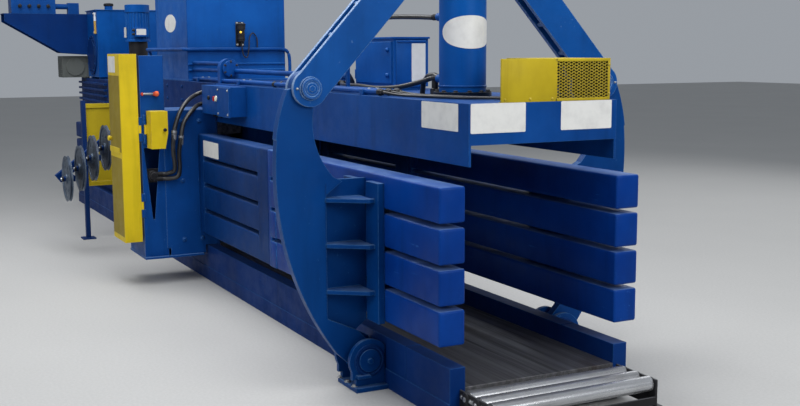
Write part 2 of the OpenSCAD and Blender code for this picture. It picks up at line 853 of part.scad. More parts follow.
// Upright shaft that turns the five wire twisters
module twister_shaft() {
    color([0.6, 0.62, 0.65]) union() {
        rod_z(needle_x, twister_y, tier_low + 0.3, tier_top - 0.3, twister_d);
        for (z = wire_z) {
            difference() {
                rod_z(needle_x, twister_y, z - 14, z + 14, 110);
                block(needle_x - 6, needle_x + 6, twister_y + 34, twister_y + 60, z - 20, z + 20);
            }
        }
    }
}

// Hydraulic motor in the V-shaped window, and the port that its hose meets
port_x = -wall_len + 18;
port_y = -858;
port_zs = [842, 806];

module twister_motor() {
    y = port_y - 67;
    z = 830;
    color([0.1, 0.11, 0.13]) union() {
        rod_x(y, z, tier_front - 150, tier_front + 30, 74);
        block(tier_front - 22, tier_front - 10, y - 52, y + 52, z - 52, z + 52);
        rod_x(y, z, tier_front + 30, tier_front + 48, 50);
        for (pz = port_zs) {
            rod_y(port_x, pz, y, port_y, 34);
        }
    }
}

// Spring plunger of the guard interlock, on the column's front
module interlock() {
    z = 1440;
    color([0.7, 0.72, 0.7]) union() {
        rod_y(tier_front + 20, z, -998, -890, 10);
        for (y = [-990, -905]) {
            block(tier_front, tier_front + 28, y, y + 8, z - 12, z + 12);
        }
    }
    color([0.85, 0.25, 0.1]) rod_y(tier_front + 20, z, -892, -868, 36);
}

// Tall guard: folded sheet box hinged on the column's outer corner
tall_x0 = tier_front - 370;
tall_x1 = tier_front - 4;
tall_y0 = -1146;
tall_y1 = -1016;
tall_z0 = 335;
tall_z1 = 1733;
hinge_x = tier_front + 6;
hinge_y = col_y0 - 8;
hinge_d = 16;
upper_hinge_z = 1090;
lower_hinge_z = 520;
knuckle_h = 60;
small_hinge_x = tier_front + 10;
small_hinge_y = -971;
small_hinge_z = 1070;
small_knuckle_h = 72;

// Three-knuckle hinge: the outer two and the pin belong to the column, the middle one to the guard
module column_knuckles(x, y, z, h, leaf_y0, leaf_y1) {
    for (i = [0, 2]) {
        rod_z(x, y, z + i * h, z + (i + 1) * h - 1, hinge_d);
        block(tier_front, x + 3, leaf_y0, leaf_y1, z + i * h, z + (i + 1) * h - 1);
    }
    rod_z(x, y, z, z + 3 * h - 1, hinge_d / 2);
}

module guard_knuckle(x, y, z, h) {
    difference() {
        union() {
            rod_z(x, y, z + h + 0.5, z + 2 * h - 1.5, hinge_d);
            children();
        }
        rod_z(x, y, z, z + 3 * h, hinge_d / 2 + 0.6);
    }
}

module tier_guard() {
    t = 3;
    color([0.92, 0.78, 0.12]) union() {
        difference() {
            block(tall_x0, tall_x1, tall_y0, tall_y1, tall_z0, tall_z1);
            block(tall_x0 - 1, tall_x1 - t, tall_y0 + t, tall_y1 + 1, tall_z0 + t, tall_z1 - t);
        }
        block(tall_x0, tall_x1 - 60, tall_y0 - 6, tall_y0, 1000, 1040);
        for (z = [upper_hinge_z, lower_hinge_z]) {
            guard_knuckle(hinge_x, hinge_y, z, knuckle_h)
                block(tall_x1 - t, hinge_x, tall_y1 - t, hinge_y, z + knuckle_h + 0.5, z + 2 * knuckle_h - 1.5);
        }
    }
}

module twister_guard() {
    t = 3;
    y0 = -960;
    y1 = -835;
    z0 = 1040;
    z1 = 1316;
    x1 = tier_front + 140;
    color([0.92, 0.78, 0.12]) union() {
        difference() {
            across(tier_front + 4, x1) polygon([[y0, z0], [y0, z1], [y1, z1], [y1, 1150], [y1 - 22, z0]]);
            across(tier_front + 3, x1 - t)
                polygon([
                    [y0 + t, z0 - 1], [y0 + t, z1 - t], [y1 - t, z1 - t], [y1 - t, 1150], [y1 - 22 - t, z0 - 1]
                ]);
        }
        guard_knuckle(small_hinge_x, small_hinge_y, small_hinge_z, small_knuckle_h)
            block(small_hinge_x, small_hinge_x + 14, small_hinge_y, y0 + t,
                small_hinge_z + small_knuckle_h + 0.5, small_hinge_z + 2 * small_knuckle_h - 1.5);
    }
}

// Needle side: four guide beams, and an end post on a foot
needle_far = 1600;
guide_low = rail_h + 8;
guide_high = ceiling_z - 66;
guide_h = 60;
guide_gap = 0.3;

module needle_frame() {
    t = 12;
    color([0.06, 0.22, 0.5]) union() {
        for (x = [needle_x - 110, needle_x + 80]) {
            for (z = [guide_low, guide_high]) {
                block(x, x + 30, box_out, needle_far, z, z + guide_h);
            }
        }
        block(needle_x - 110, needle_x + 110, needle_far, needle_far + 80, 12, guide_high + guide_h);
        block(needle_x - 180, needle_x + 180, needle_far - 60, needle_far + 140, 0, 12);
        for (x = [needle_x - 110, needle_x + 80]) {
            block(x, x + 30, box_out, box_out + t, guide_low + guide_h, guide_high);
        }
        // Plate that carries the fixed wall section
        block(needle_x + 109, tier_front, box_out, box_out + t, guide_low, tier_top);
        block(tier_front, -wall_len, box_out, wall_out, rail_h + 3, tier_top);
    }
}

// Needle carriage: one plate on two guide shoes, with five pointed needles
carriage_y = 1480;

module needles() {
    tip = box_out + 6;
    shoe_t = 6;
    top = guide_high + guide_h + guide_gap;
    color([0.55, 0.57, 0.6]) union() {
        block(needle_x - needle_w / 2, needle_x + needle_w / 2, carriage_y, carriage_y + 40,
            guide_low - shoe_t, top + 8);
        for (z = [guide_low - guide_gap - shoe_t, top]) {
            block(needle_x - 112, needle_x + 112, carriage_y - 20, carriage_y + 60, z, z + shoe_t);
        }
        for (z = wire_z) {
            translate([0, 0, z - needle_h / 2]) linear_extrude(needle_h) polygon([
                [needle_x - needle_w / 2, carriage_y], [needle_x - needle_w / 2, tip + 120], [needle_x - 6, tip],
                [needle_x + 6, tip], [needle_x + needle_w / 2, tip + 120], [needle_x + needle_w / 2, carriage_y]
            ]);
        }
    }
}

// Wire sheaves, stepped down and outwards, on arms of one bracket
sheave_x = throat_rear;
sheave_y0 = -800;
sheave_z0 = 995;
sheave_dy = -112;
sheave_dz = -85;
axle_d = 30;

function sheave_y(i) = sheave_y0 + i * sheave_dy;
function sheave_z(i) = sheave_z0 + i * sheave_dz;

module sheave(i) {
    y = sheave_y(i);
    z = sheave_z(i);
    groove = 12;
    color([0.4, 0.45, 0.53]) translate([sheave_x, y, z]) rotate([90, 0, 0]) difference() {
        rotate_extrude() polygon([
            [axle_d / 2 + 0.5, -sheave_t / 2 - 6], [45, -sheave_t / 2 - 6], [45, -6], [sheave_d / 2 - 30, -6],
            [sheave_d / 2 - 26, -sheave_t / 2], [sheave_d / 2, -sheave_t / 2], [sheave_d / 2 - groove, 0],
            [sheave_d / 2, sheave_t / 2], [sheave_d / 2 - 26, sheave_t / 2], [sheave_d / 2 - 30, 6],
            [45, 6], [45, sheave_t / 2 + 6], [axle_d / 2 + 0.5, sheave_t / 2 + 6]
        ]);
        for (a = [0:60:300]) {
            rotate(a) translate([110, 0, -30]) cylinder(r = 14, h = 60);
        }
    }
}

module sheave_1() {
    sheave(0);
}

module sheave_2() {
    sheave(1);
}

module sheave_3() {
    sheave(2);
}

module sheave_4() {
    sheave(3);
}

module sheave_5() {
    sheave(4);
}

module sheave_bracket() {
    arm_t = 12;
    hub_half = sheave_t / 2 + 6;
    back_x = sheave_x - sheave_d / 2 - 40;
    slope = atan2(sheave_dz, sheave_dy);
    beam_len = norm([sheave_dy, sheave_dz]) * 4.6;
    color([0.07, 0.2, 0.45]) union() {
        // Sloping beam behind the sheaves, and its post on the floor
        translate([back_x, sheave_y(0) + 30, sheave_z(0) + 24]) rotate([slope, 0, 0])
            translate([-50, 0, -40]) cube([50, beam_len, 80]);
        block(back_x - 48, back_x - 2, sheave_y(0) + 20, -rail_out - 61, sheave_z(0) - 20, sheave_z(0) + 60);
        block(back_x - 50, back_x, -rail_out - 61, -rail_out - 6, 12, sheave_z(0) + 60);
        rib_z = wall_top_z - rib_pitch;
        block(back_x - 46, back_x - 4, -rail_out - 20, -rail_out, rib_z - 100, rib_z - 20);
        block(back_x - 90, back_x + 40, -rail_out - 91, -rail_out - flange_out - 3, 0, 12);
        // Arms and axles
        for (i = [0:4]) {
            y = sheave_y(i) - sheave_dy / 2;
            z = sheave_z(i);
            block(back_x - 10, sheave_x + 30, y - arm_t / 2, y + arm_t / 2, z - 25, z + 25);
            rod_y(sheave_x, z, sheave_y(i) - 30, y, axle_d);
            rod_y(sheave_x, z, sheave_y(i) - 34, sheave_y(i) - hub_half - 0.5, axle_d + 16);
            rod_y(sheave_x, z, sheave_y(i) + hub_half + 0.5, y - arm_t / 2 + 1, axle_d + 10);
        }
    }
}

// Framed guard panel beside the wire path
module wire_guard() {
    x = press_rear - 400;
    y0 = -940;
    y1 = -540;
    color([0.06, 0.15, 0.4]) union() {
        block(x - 50, x, y0 - 40, y0, 0, 1300);
        block(x - 90, x + 40, y0 - 80, y0 + 40, 0, 12);
    }
    color([0.85, 0.7, 0.15]) union() {
        block(x - 30, x - 20, y0, y1, 500, 1270);
        for (z = [500, 1230]) {
            block(x - 20, x - 5, y0, y1, z, z + 40);
        }
    }
    color([0.06, 0.15, 0.4]) block(x - 60, x, y1, -box_out, 1000, 1060);
}

// Control box on the side of the beam, with two push buttons
control_x0 = tier_front + 40;
control_x1 = control_x0 + 670;
control_y = -box_y - 120;
button_x = control_x0 + 345;
button_z = 1410;

module control_box() {
    color([0.09, 0.28, 0.65]) difference() {
        union() {
            block(control_x0, control_x1, control_y, -box_y, 1290, 1500);
            block(control_x0 + 410, control_x1 + 4, control_y - 14, control_y, 1286, 1494);
        }
        for (x = [button_x, button_x + 46]) {
            rod_y(x, button_z, control_y - 20, control_y + 30, 31);
        }
    }
}

module push_button(x) {
    union() {
        rod_y(x, button_z, control_y - 14, control_y + 20, 30);
        rod_y(x, button_z, control_y - 22, control_y - 8, 36);
    }
}

module button_red() {
    color([0.75, 0.08, 0.1]) push_button(button_x);
}

module button_white() {
    color([0.92, 0.92, 0.8]) push_button(button_x + 46);
}

// Electrical cabinet on the deck, with a hood lip and door
module cabinet() {
    x0 = -2250;
    x1 = -1700;
    y0 = 50;
    y1 = 290;
    color([0.08, 0.26, 0.6]) union() {
        block(x0, x1, y0, y1, deck_z + 20, 1830);
        block(x0 - 8, x1 + 8, y0 - 8, y1 + 8, 1822, 1834);
        for (x = [x0 + 20, x1 - 60]) {
            block(x, x + 40, y0 + 10, y1 - 10, deck_z, deck_z + 20);
        }
        block(x0 + 20, x1 - 20, y0 - 10, y0, deck_z + 40, 1805);
    }
}

// Three pipes along the deck, their clamps, the support post and the pipe over the hopper face
pipe_d = 27;

anchor_x = tier_front + 40;
anchor_t = 60;
anchor_r = 75;
anchor_y = -340;
anchor_z = 1620;

// Pipe from the ram housing, past the hopper's side and face, down to the far wall
face_x = throat_front + 28;
side_y = -452;
hopper_pipe = [
    [press_rear - 60, -380, housing_top + 0.2], [press_rear - 60, -380, 1600], [press_rear - 55, -395, 1710],
    [press_rear - 15, -430, pipe_z - 5], [throat_rear - 170, side_y, pipe_z],
    [throat_rear + 450, side_y, pipe_z],
    [throat_front - 70, side_y, pipe_z], [throat_front + 6, side_y + 5, pipe_z], [face_x - 2, -400, pipe_z],
    [face_x, -200, pipe_z], [face_x, 200, pipe_z], [face_x, 380, pipe_z], [face_x, 440, pipe_z - 25],
    [face_x, 456, pipe_z - 100], [face_x, 456, 1500], [face_x, 456, 1200], [face_x, 456, wall_top_z + 0.2]
];

module top_pipes() {
    post_h = 230;
    color([0.08, 0.26, 0.6]) union() {
        for (y = [-390, -340, -290]) {
            rod_x(y, deck_z + 22, throat_front + 60, -1000, pipe_d);
        }
        for (x = [throat_front + 200, -3300, -2300, -1200]) {
            block(x, x + 40, -415, -265, deck_z, deck_z + 32);
        }
        // Round-topped anchor block with the raised pipes at both sides of it
        across(anchor_x, anchor_x + anchor_t) union() {
            translate([anchor_y - anchor_r, deck_z]) square([2 * anchor_r, anchor_z - deck_z]);
            translate([anchor_y, anchor_z]) circle(r = anchor_r);
        }
        rod_x(anchor_y, anchor_z, anchor_x + anchor_t - 1, anchor_x + anchor_t + 25, 90);
        rod_x(anchor_y - 35, deck_z + 95, throat_front + 16.3, anchor_x + 1, pipe_d);
        rod_x(anchor_y - 35, deck_z + 148, throat_front + 16.3, anchor_x + 1, pipe_d);
        rod_x(anchor_y + 40, deck_z + 92, anchor_x + anchor_t - 1, post_x, 35);
        // Support post
        block(post_x, post_x + 20, -312, -292, deck_z, deck_z + post_h);
        block(post_x - 30, post_x + 50, -312, -272, deck_z, deck_z + 12);
        block(manifold_x - 80, manifold_x, -60, 60, deck_z, deck_z + 60);
    }
    color([0.08, 0.26, 0.6]) tube(held(hopper_pipe, 3), 30, 8);
}

// Hoses of the tension cylinder, from its two ports to the manifold on the deck
manifold_x = -2340;
post_x = -1610;
lower_hose = [
    [-936, -60, 1599], [-1020, -60, 1599], [-1110, -90, 1575], [-1250, -150, 1545], [-1450, -190, 1536],
    [-1700, -190, 1542], [-1950, -170, 1538], [-2160, -90, 1538], [manifold_x + 40, -25, 1540],
    [manifold_x + 0.3, -25, 1540]
];
upper_hose = [
    [-936, -60, 1930], [-1020, -60, 1930], [-1200, -60, 1928], [-1450, -70, 1905], [-1640, -80, 1850],
    [-1740, -80, 1750], [-1780, -70, 1640], [-1840, -60, 1562], [-1950, -50, 1538], [-2150, -20, 1540],
    [manifold_x + 40, 20, 1540], [manifold_x + 0.3, 20, 1540]
];

module cylinder_hoses() {
    color([0.08, 0.08, 0.09]) tube(held(lower_hose, 4), 28, 8);
    color([0.08, 0.08, 0.09]) tube(held(upper_hose, 4), 28, 8);
}

// Hoses of the tying unit, from the control box to the hydraulic motor
tier_hose_a = [
    [control_x0 - 0.3, -500, 1450], [control_x0 - 45, -500, 1450], [control_x0 - 60, -570, 1425],
    [control_x0, -660, 1375], [control_x0 + 50, -740, 1280], [control_x0 + 75, -785, 1150],
    [control_x0 + 75, -795, 1020], [control_x0 + 55, -780, 925], [port_x + 38, port_y + 80, 868],
    [port_x + 9, port_y + 53, 849], [port_x, port_y + 26, port_zs[0]], [port_x, port_y + 0.3, port_zs[0]]
];
tier_hose_b = [
    [control_x0 - 0.3, -480, 1365], [control_x0 - 45, -480, 1365], [control_x0 - 55, -550, 1350],
    [control_x0, -620, 1310], [control_x0 + 40, -700, 1220], [control_x0 + 60, -730, 1110],
    [control_x0 + 42, -741, 1000], [control_x0 + 34, -738, 880], [port_x + 42, port_y + 104, 822],
    [port_x + 12, port_y + 56, 807], [port_x, port_y + 26, port_zs[1]], [port_x, port_y + 0.3, port_zs[1]]
];

module tier_hoses() {
    color([0.08, 0.08, 0.09]) tube(held(tier_hose_a, 4), 32, 8);
    color([0.08, 0.08, 0.09]) tube(held(tier_hose_b, 4), 32, 8);
}

// Oil reservoir on the ram housing
tank_x0 = -frame_len + 370;
tank_x1 = tank_x0 + 540;
tank_top = 2195;

module reservoir() {
    color([0.1, 0.3, 0.62]) union() {
        block(tank_x0, tank_x1, -box_y, box_y, housing_top + 20, tank_top);
        block(tank_x0 - 12, tank_x1 + 12, -box_y - 12, box_y + 12, tank_top, tank_top + 8);
        for (x = [tank_x0 + 30, tank_x1 - 90]) {
            block(x, x + 60, -box_y + 20, box_y - 20, housing_top, housing_top + 20);
        }
        rod_z(tank_x0 + 140, -200, tank_top + 8, tank_top + 70, 90);
    }
}

// Round clean-out cover with its ring of bolts
cover_x = tank_x0 + 266;
cover_z = 1712;
cover_d = 430;

module cleanout_cover() {
    color([0.25, 0.35, 0.5]) union() {
        rod_y(cover_x, cover_z, -box_y - 14, -box_y, cover_d);
        rod_y(cover_x, cover_z, -box_y - 20, -box_y - 14, cover_d - 90);
        for (a = [0:30:330]) {
            ring_r = cover_d / 2 - 22;
            translate([cover_x + ring_r * cos(a), -box_y - 14, cover_z + ring_r * sin(a)])
                rotate([90, 0, 0]) cylinder(d = 22, h = 10, $fn = 6);
        }
    }
}

module level_gauge() {
    x = tank_x1 - 72;
    color([0.9, 0.92, 0.92]) union() {
        block(x - 18, x + 18, -box_y - 16, -box_y, 1950, 2165);
        block(x - 24, x + 24, -box_y - 20, -box_y, 1944, 1968);
        block(x - 24, x + 24, -box_y - 20, -box_y, 2147, 2171);
    }
}

// Electric motor standing on its bell housing, over the pump
motor_x = tank_x1 + 740;
motor_y = -160;
motor_d = 250;

module motor() {
    fins = 24;
    color([0.1, 0.3, 0.6]) union() {
        rod_z(motor_x, motor_y, 1870, 2150, motor_d - 20);
        rod_z(motor_x, motor_y, 2150, 2225, motor_d);
        rod_z(motor_x, motor_y, 1850, 1870, motor_d);
        for (a = [0:360 / fins:359]) {
            translate([motor_x, motor_y, 1880]) rotate(a)
                translate([motor_d / 2 - 18, -2, 0]) cube([16, 4, 262]);
        }
        block(motor_x + 60, motor_x + 170, motor_y - 70, motor_y + 70, 1900, 1990);
    }
}

module pump() {
    color([0.13, 0.14, 0.16]) union() {
        rod_z(motor_x, motor_y, 1700, 1850, motor_d - 60);
        rod_z(motor_x, motor_y, 1540, 1700, 150);
        block(motor_x - 150, motor_x + 150, motor_y - 150, motor_y + 150, housing_top, housing_top + 14);
        rod_z(motor_x, motor_y, housing_top + 14, 1540, 200);
        rod_y(motor_x, 1620, motor_y - 130, motor_y, 60);
    }
}

// Shelf on a triangular bracket, beside the reservoir
shelf_x0 = -frame_len + 150;
shelf_x1 = shelf_x0 + 260;

module shelf_bracket() {
    beam = 80;
    low = 1735;
    high = 2160;
    color([0.05, 0.12, 0.3]) union() {
        for (x = [shelf_x0, shelf_x1 - 10]) {
            across(x, x + 10) polygon([
                [-box_y - 12, low - 20], [-box_y - 300, low], [-1310, high - beam], [-1310, high],
                [-box_y - 12, high]
            ]);
        }
        block(shelf_x0, shelf_x1, -1320, -box_y, high, high + 8);
        block(shelf_x0, shelf_x1, -box_y - 12, -box_y, low - 20, high);
    }
}

module valve_box() {
    color([0.1, 0.32, 0.66]) union() {
        block(shelf_x0 + 20, shelf_x1 - 10, -1230, -760, 2168, 2420);
        rod_y(shelf_x1 - 80, 2250, -760, -620, 60);
        block(shelf_x1 - 120, shelf_x1 - 40, -620, -500, 2168, 2290);
    }
}

module cooler() {
    color([0.35, 0.38, 0.36]) union() {
        block(-frame_len + 50, tank_x0 - 40, -700, -box_y + 20, housing_top + 10, 1700);
        block(-frame_len + 60, -frame_len + 290, -box_y - 20, -box_y + 20, housing_top, housing_top + 10);
        rod_x(-560, 1580, tank_x0 - 40, tank_x0 - 28, 200);
    }
}

// Short roller table under the discharge end
roller_y = 460;
roller_x0 = 60;
roller_count = 3;
roller_z = floor_z - roller_d / 2;

module roller_frame() {
    t = 10;
    len = roller_x0 + (roller_count - 1) * roller_pitch + 50;
    color([0.1, 0.1, 0.12]) union() {
        for (s = [-1, 1]) {
            difference() {
                block(0, len, s * roller_y - t / 2, s * roller_y + t / 2, 30, floor_z - 8);
                for (i = [0:roller_count - 1]) {
                    rod_y(roller_x0 + i * roller_pitch, roller_z, s * roller_y - t, s * roller_y + t, 25.6);
                }
            }
        }
        block(0, t, -roller_y, roller_y, 40, 90);
        block(len - t, len, -roller_y, roller_y, 40, 80);
        for (s = [-1, 1]) {
            block(len - 60, len, s * roller_y - 40, s * roller_y + 40, 0, 30);
        }
    }
}

module roller(i) {
    x = roller_x0 + i * roller_pitch;
    color([0.7, 0.72, 0.75]) union() {
        rod_y(x, roller_z, -roller_y + 8, roller_y - 8, roller_d);
        rod_y(x, roller_z, -roller_y - 16, roller_y + 16, 25);
    }
}

module roller_1() {
    roller(0);
}

module roller_2() {
    roller(1);
}

module roller_3() {
    roller(2);
}

chamber_floor();
base_rail_left();
base_rail_right();
top_beam();
fixed_wall_left();
fixed_wall_right();
squeeze_ribs_left();
squeeze_ribs_right();
lever_left();
lever_right();
pivot_bracket_left();
pivot_bracket_right();
base_pins();
link_left();
link_right();
crosshead();
tension_barrel();
screen_guard();
screen_mesh();
star_wheel();
charge_box();
hopper();
photo_eye();
ram_housing();
ram();
main_cylinder();
tier_frame();
twister_shaft();
twister_motor();
interlock();
tier_guard();
twister_guard();
needle_frame();
needles();
sheave_bracket();
sheave_1();
sheave_2();
sheave_3();
sheave_4();
sheave_5();
wire_guard();
control_box();
button_red();
button_white();
cabinet();
top_pipes();
cylinder_hoses();
tier_hoses();
reservoir();
cleanout_cover();
level_gauge();
motor();
pump();
shelf_bracket();
valve_box();
cooler();
roller_frame();
roller_1();
roller_2();
roller_3();
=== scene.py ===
import math

import bpy
from mathutils import Matrix, Vector


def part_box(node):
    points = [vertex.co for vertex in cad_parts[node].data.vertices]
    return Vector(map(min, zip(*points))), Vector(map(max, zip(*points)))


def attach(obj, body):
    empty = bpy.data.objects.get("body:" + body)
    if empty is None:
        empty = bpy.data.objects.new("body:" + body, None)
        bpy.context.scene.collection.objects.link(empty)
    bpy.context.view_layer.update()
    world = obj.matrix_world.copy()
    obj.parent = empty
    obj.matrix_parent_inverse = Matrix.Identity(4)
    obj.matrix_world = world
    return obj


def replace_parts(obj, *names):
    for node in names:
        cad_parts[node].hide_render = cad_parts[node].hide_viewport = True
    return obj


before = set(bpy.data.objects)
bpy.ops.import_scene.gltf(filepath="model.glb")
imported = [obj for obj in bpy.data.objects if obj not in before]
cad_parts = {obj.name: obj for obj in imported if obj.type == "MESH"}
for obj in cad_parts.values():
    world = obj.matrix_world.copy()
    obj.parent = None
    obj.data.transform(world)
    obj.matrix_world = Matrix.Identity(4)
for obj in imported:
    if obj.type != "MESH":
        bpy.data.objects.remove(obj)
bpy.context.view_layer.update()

# Camera: stands at eye height off the discharge end's corner and looks back
# along the machine. Place, turn and lens come from the picture's vanishing
# points, scaled so that the bale chamber is 1143 mm high.
eye_place, eye_turn = (4.3367, -2.9882, 1.755), (82.060, 0.2278, 62.948)
bpy.ops.object.camera_add(location=eye_place, rotation=tuple(math.radians(angle) for angle in eye_turn))
bpy.context.scene.camera = bpy.context.object
bpy.context.object.name = "camera"
bpy.context.object.data.lens = 49.41
bpy.context.object.data.sensor_width = 36.0
bpy.context.object.data.sensor_fit = "HORIZONTAL"
bpy.context.object.data.clip_end = 200.0
bpy.context.scene.view_settings.view_transform = "Standard"


# Shop floor: a plain pale slab that runs out past the view on every side.
# It is stage, not part of the baler.
def add_step(tree, kind, sockets, **settings):
    """Adds one step to a finish, sets or links its named sockets, and returns it."""
    made = tree.nodes.new(kind)
    for key, value in settings.items():
        setattr(made, key, value)
    for key, value in sockets.items():
        if isinstance(value, bpy.types.NodeSocket):
            tree.links.new(value, made.inputs[key])
        else:
            made.inputs[key].default_value = value
    return made


def coat_over(tree, amount, under, over):
    """Lays one colour over another by an amount and returns the mixed colour."""
    made = add_step(tree, "ShaderNodeMix", {0: amount, 6: under, 7: over}, data_type="RGBA")
    return made.outputs[2]


def spread(tree, value, low, high, to_low=0.0, to_high=1.0):
    """Stretches low..high of a value to to_low..to_high, with soft ends."""
    made = add_step(
        tree, "ShaderNodeMapRange",
        {"Value": value, "From Min": low, "From Max": high, "To Min": to_low, "To Max": to_high},
        interpolation_type="SMOOTHSTEP",
    )
    return made.outputs[0]


def times(tree, one, other):
    """Product of two amounts."""
    return add_step(tree, "ShaderNodeMath", {0: one, 1: other}, operation="MULTIPLY").outputs[0]


def speckle(tree, scale, detail=4.0, rough=0.55, stretch=None):
    """Noise on the piece's own coordinates, stretched along an axis if asked."""
    place = add_step(tree, "ShaderNodeTexCoord", {}).outputs["Object"]
    if stretch:
        place = add_step(tree, "ShaderNodeMapping", {"Vector": place, "Scale": stretch}).outputs[0]
    made = add_step(tree, "ShaderNodeTexNoise", {"Vector": place, "Scale": scale, "Detail": detail, "Roughness": rough})
    return made.outputs["Fac"]


def blank_finish(name):
    """A new finish with its shader, ready for steps."""
    made = bpy.data.materials.new(name)
    made.use_nodes = True
    return made, made.node_tree, made.node_tree.nodes["Principled BSDF"]


slab_finish, tree, shader = blank_finish("pale_slab")
colour = coat_over(tree, speckle(tree, 0.6, 5.0), (0.38, 0.38, 0.375, 1), (0.44, 0.44, 0.43, 1))
tree.links.new(coat_over(tree, 0.1, colour, speckle(tree, 60.0, 3.0)), shader.inputs["Base Color"])
shader.inputs["Roughness"].default_value = 0.75
bpy.ops.object.select_all(action="DESELECT")
bpy.ops.mesh.primitive_plane_add(size=80, location=(0, 0, 0))
slab = bpy.context.object
slab.name = "stage_floor"
slab.data.materials.append(slab_finish)

# Studio light: a long soft light over the deck, one in front of the
# discharge end and a weaker one from each long side, in a dim even surround.
surround = bpy.data.worlds.new("surround")
bpy.context.scene.world = surround
surround.use_nodes = True
sky = surround.node_tree.nodes["Background"]
sky.inputs["Color"].default_value = (0.82, 0.88, 0.96, 1)
sky.inputs["Strength"].default_value = 0.38
for name, place, aim, size, power in (
    ("light_over", (-2.6, -0.9, 5.2), (-2.8, 0.0, 0.6), (10.0, 2.4), 430),
    ("light_front", (7.0, 1.5, 4.4), (-1.5, 0.0, 1.0), (4.0, 3.0), 330),
    ("light_side", (0.0, -8.5, 4.8), (-3.0, 0.0, 0.9), (7.0, 3.0), 230),
    ("light_far", (-5.0, 8.5, 4.8), (-4.0, 0.0, 0.9), (7.0, 3.0), 200),
):
    bpy.ops.object.light_add(type="AREA", location=place)
    lamp = bpy.context.object
    lamp.name = name
    lamp.data.shape = "RECTANGLE"
    lamp.data.size, lamp.data.size_y = size
    lamp.data.energy = power
    lamp.rotation_euler = (Vector(aim) - Vector(place)).to_track_quat("-Z", "Y").to_euler()


# Base rails: 272 mm high folded box sections in royal blue machine enamel,
# with a proud bottom flange, butt-welded from lengths and capped at the end.
dust_and_highlight_grey = (0.26, 0.28, 0.31)


def machine_enamel(name, deep, fresh, rubbed, wear=0.6, dust_and_highlight=0.3, gloss=0.36, fold=0.005, grimy=0.35):
    """Machine paint: cloudy, rubbed lighter along folds, finely scratched, with dust on top faces that also serves as a
    painted highlight.
    """
    paint, tree, shader = blank_finish(name)
    cloud = speckle(tree, 1.7, 5.0, 0.6)
    grime = speckle(tree, 9.0, 6.0, 0.65)
    bits = speckle(tree, 60.0, 4.0, 0.7)
    colour = coat_over(tree, spread(tree, cloud, 0.3, 0.7), deep + (1,), fresh + (1,))
    # Runs of dirt down the sides
    run = speckle(tree, 3.0, 5.0, 0.6, (3.0, 3.0, 0.35))
    dirty = tuple(0.4 * part for part in deep)
    colour = coat_over(tree, spread(tree, run, 0.5, 0.8, 0.0, grimy), colour, dirty + (1,))
    # Fine scratches along the machine, in patches
    scratch = spread(tree, speckle(tree, 26.0, 3.0, 0.6, (0.12, 2.2, 2.2)), 0.64, 0.72)
    scratch = times(tree, scratch, spread(tree, grime, 0.5, 0.62, 0.0, 0.45 * wear))
    colour = coat_over(tree, scratch, colour, rubbed + (1,))
    # Folds, where the rounded normal leaves the flat one
    soft = add_step(tree, "ShaderNodeBevel", {"Radius": fold}, samples=6).outputs[0]
    flat = add_step(tree, "ShaderNodeNewGeometry", {}).outputs["Normal"]
    turn = add_step(tree, "ShaderNodeVectorMath", {0: soft, 1: flat}, operation="DOT_PRODUCT").outputs["Value"]
    edge = times(tree, spread(tree, turn, 0.995, 0.9), spread(tree, bits, 0.3, 0.62, 0.2 * wear, wear))
    colour = coat_over(tree, edge, colour, rubbed + (1,))
    # Dust on top faces, also a painted highlight that lightens every face that looks up
    up = add_step(tree, "ShaderNodeSeparateXYZ", {0: flat}).outputs["Z"]
    dust_and_highlight_mask = times(tree, spread(tree, up, 0.6, 0.98), spread(tree, grime, 0.25, 0.75, 0.25 * dust_and_highlight, dust_and_highlight))
    dust_and_highlight_colour = tuple(0.6 * part + 0.4 * grit for part, grit in zip(rubbed, dust_and_highlight_grey))
    colour = coat_over(tree, dust_and_highlight_mask, colour, dust_and_highlight_colour + (1,))
    tree.links.new(colour, shader.inputs["Base Color"])
    rough = spread(tree, grime, 0.3, 0.75, gloss, gloss + 0.2)
    tree.links.new(coat_over(tree, dust_and_highlight_mask, rough, (0.75, 0.75, 0.75, 1)), shader.inputs["Roughness"])
    waves = add_step(tree, "ShaderNodeBump", {"Height": speckle(tree, 4.0, 2.0, 0.4), "Strength": 0.12,
                                              "Distance": 0.01, "Normal": soft}).outputs[0]
    peel = add_step(tree, "ShaderNodeBump", {"Height": speckle(tree, 230.0, 2.0, 0.5), "Strength": 0.08,
                                             "Distance": 0.001, "Normal": waves}).outputs[0]
    tree.links.new(peel, shader.inputs["Normal"])
    shader.inputs["Specular IOR Level"].default_value = 0.16
    is_blue = deep[2] > 3 * deep[0]
    shader.inputs["Specular Tint"].default_value = (0.45, 0.72, 1.0, 1) if is_blue else (1, 1, 1, 1)
    return paint


def coat(finish, *names):
    """Gives carried-over solids their finish."""
    for name in names:
        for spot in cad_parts[name].material_slots:
            spot.material = finish


def enter(mode):
    """Goes over to working on a piece's mesh, or back to the whole piece."""
    bpy.ops.object.mode_set(mode=mode)


def settle():
    """Brings a piece's place, turn and size into its mesh."""
    bpy.ops.object.transform_apply(location=True, rotation=True, scale=True)


def let_go():
    """Deselects everything, so that the next step acts on its own piece alone."""
    if bpy.context.object and bpy.context.object.mode != "OBJECT":
        enter("OBJECT")
    bpy.ops.object.select_all(action="DESELECT")


def joined(pieces):
    """Joins like pieces into one."""
    let_go()
    for piece in pieces:
        piece.select_set(True)
    bpy.context.view_layer.objects.active = pieces[0]
    if len(pieces) > 1:
        bpy.ops.object.join()
    return bpy.context.view_layer.objects.active


def hang(pieces, name, body, finish, slot):
    """Names a finished piece, brings its place into its mesh, coats it and hangs it on its body."""
    piece = joined(pieces if isinstance(pieces, list) else [pieces])
    settle()
    piece.name = piece.data.name = name
    piece.data.materials.clear()
    piece.data.materials.append(finish)
    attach(piece, body)
    return piece


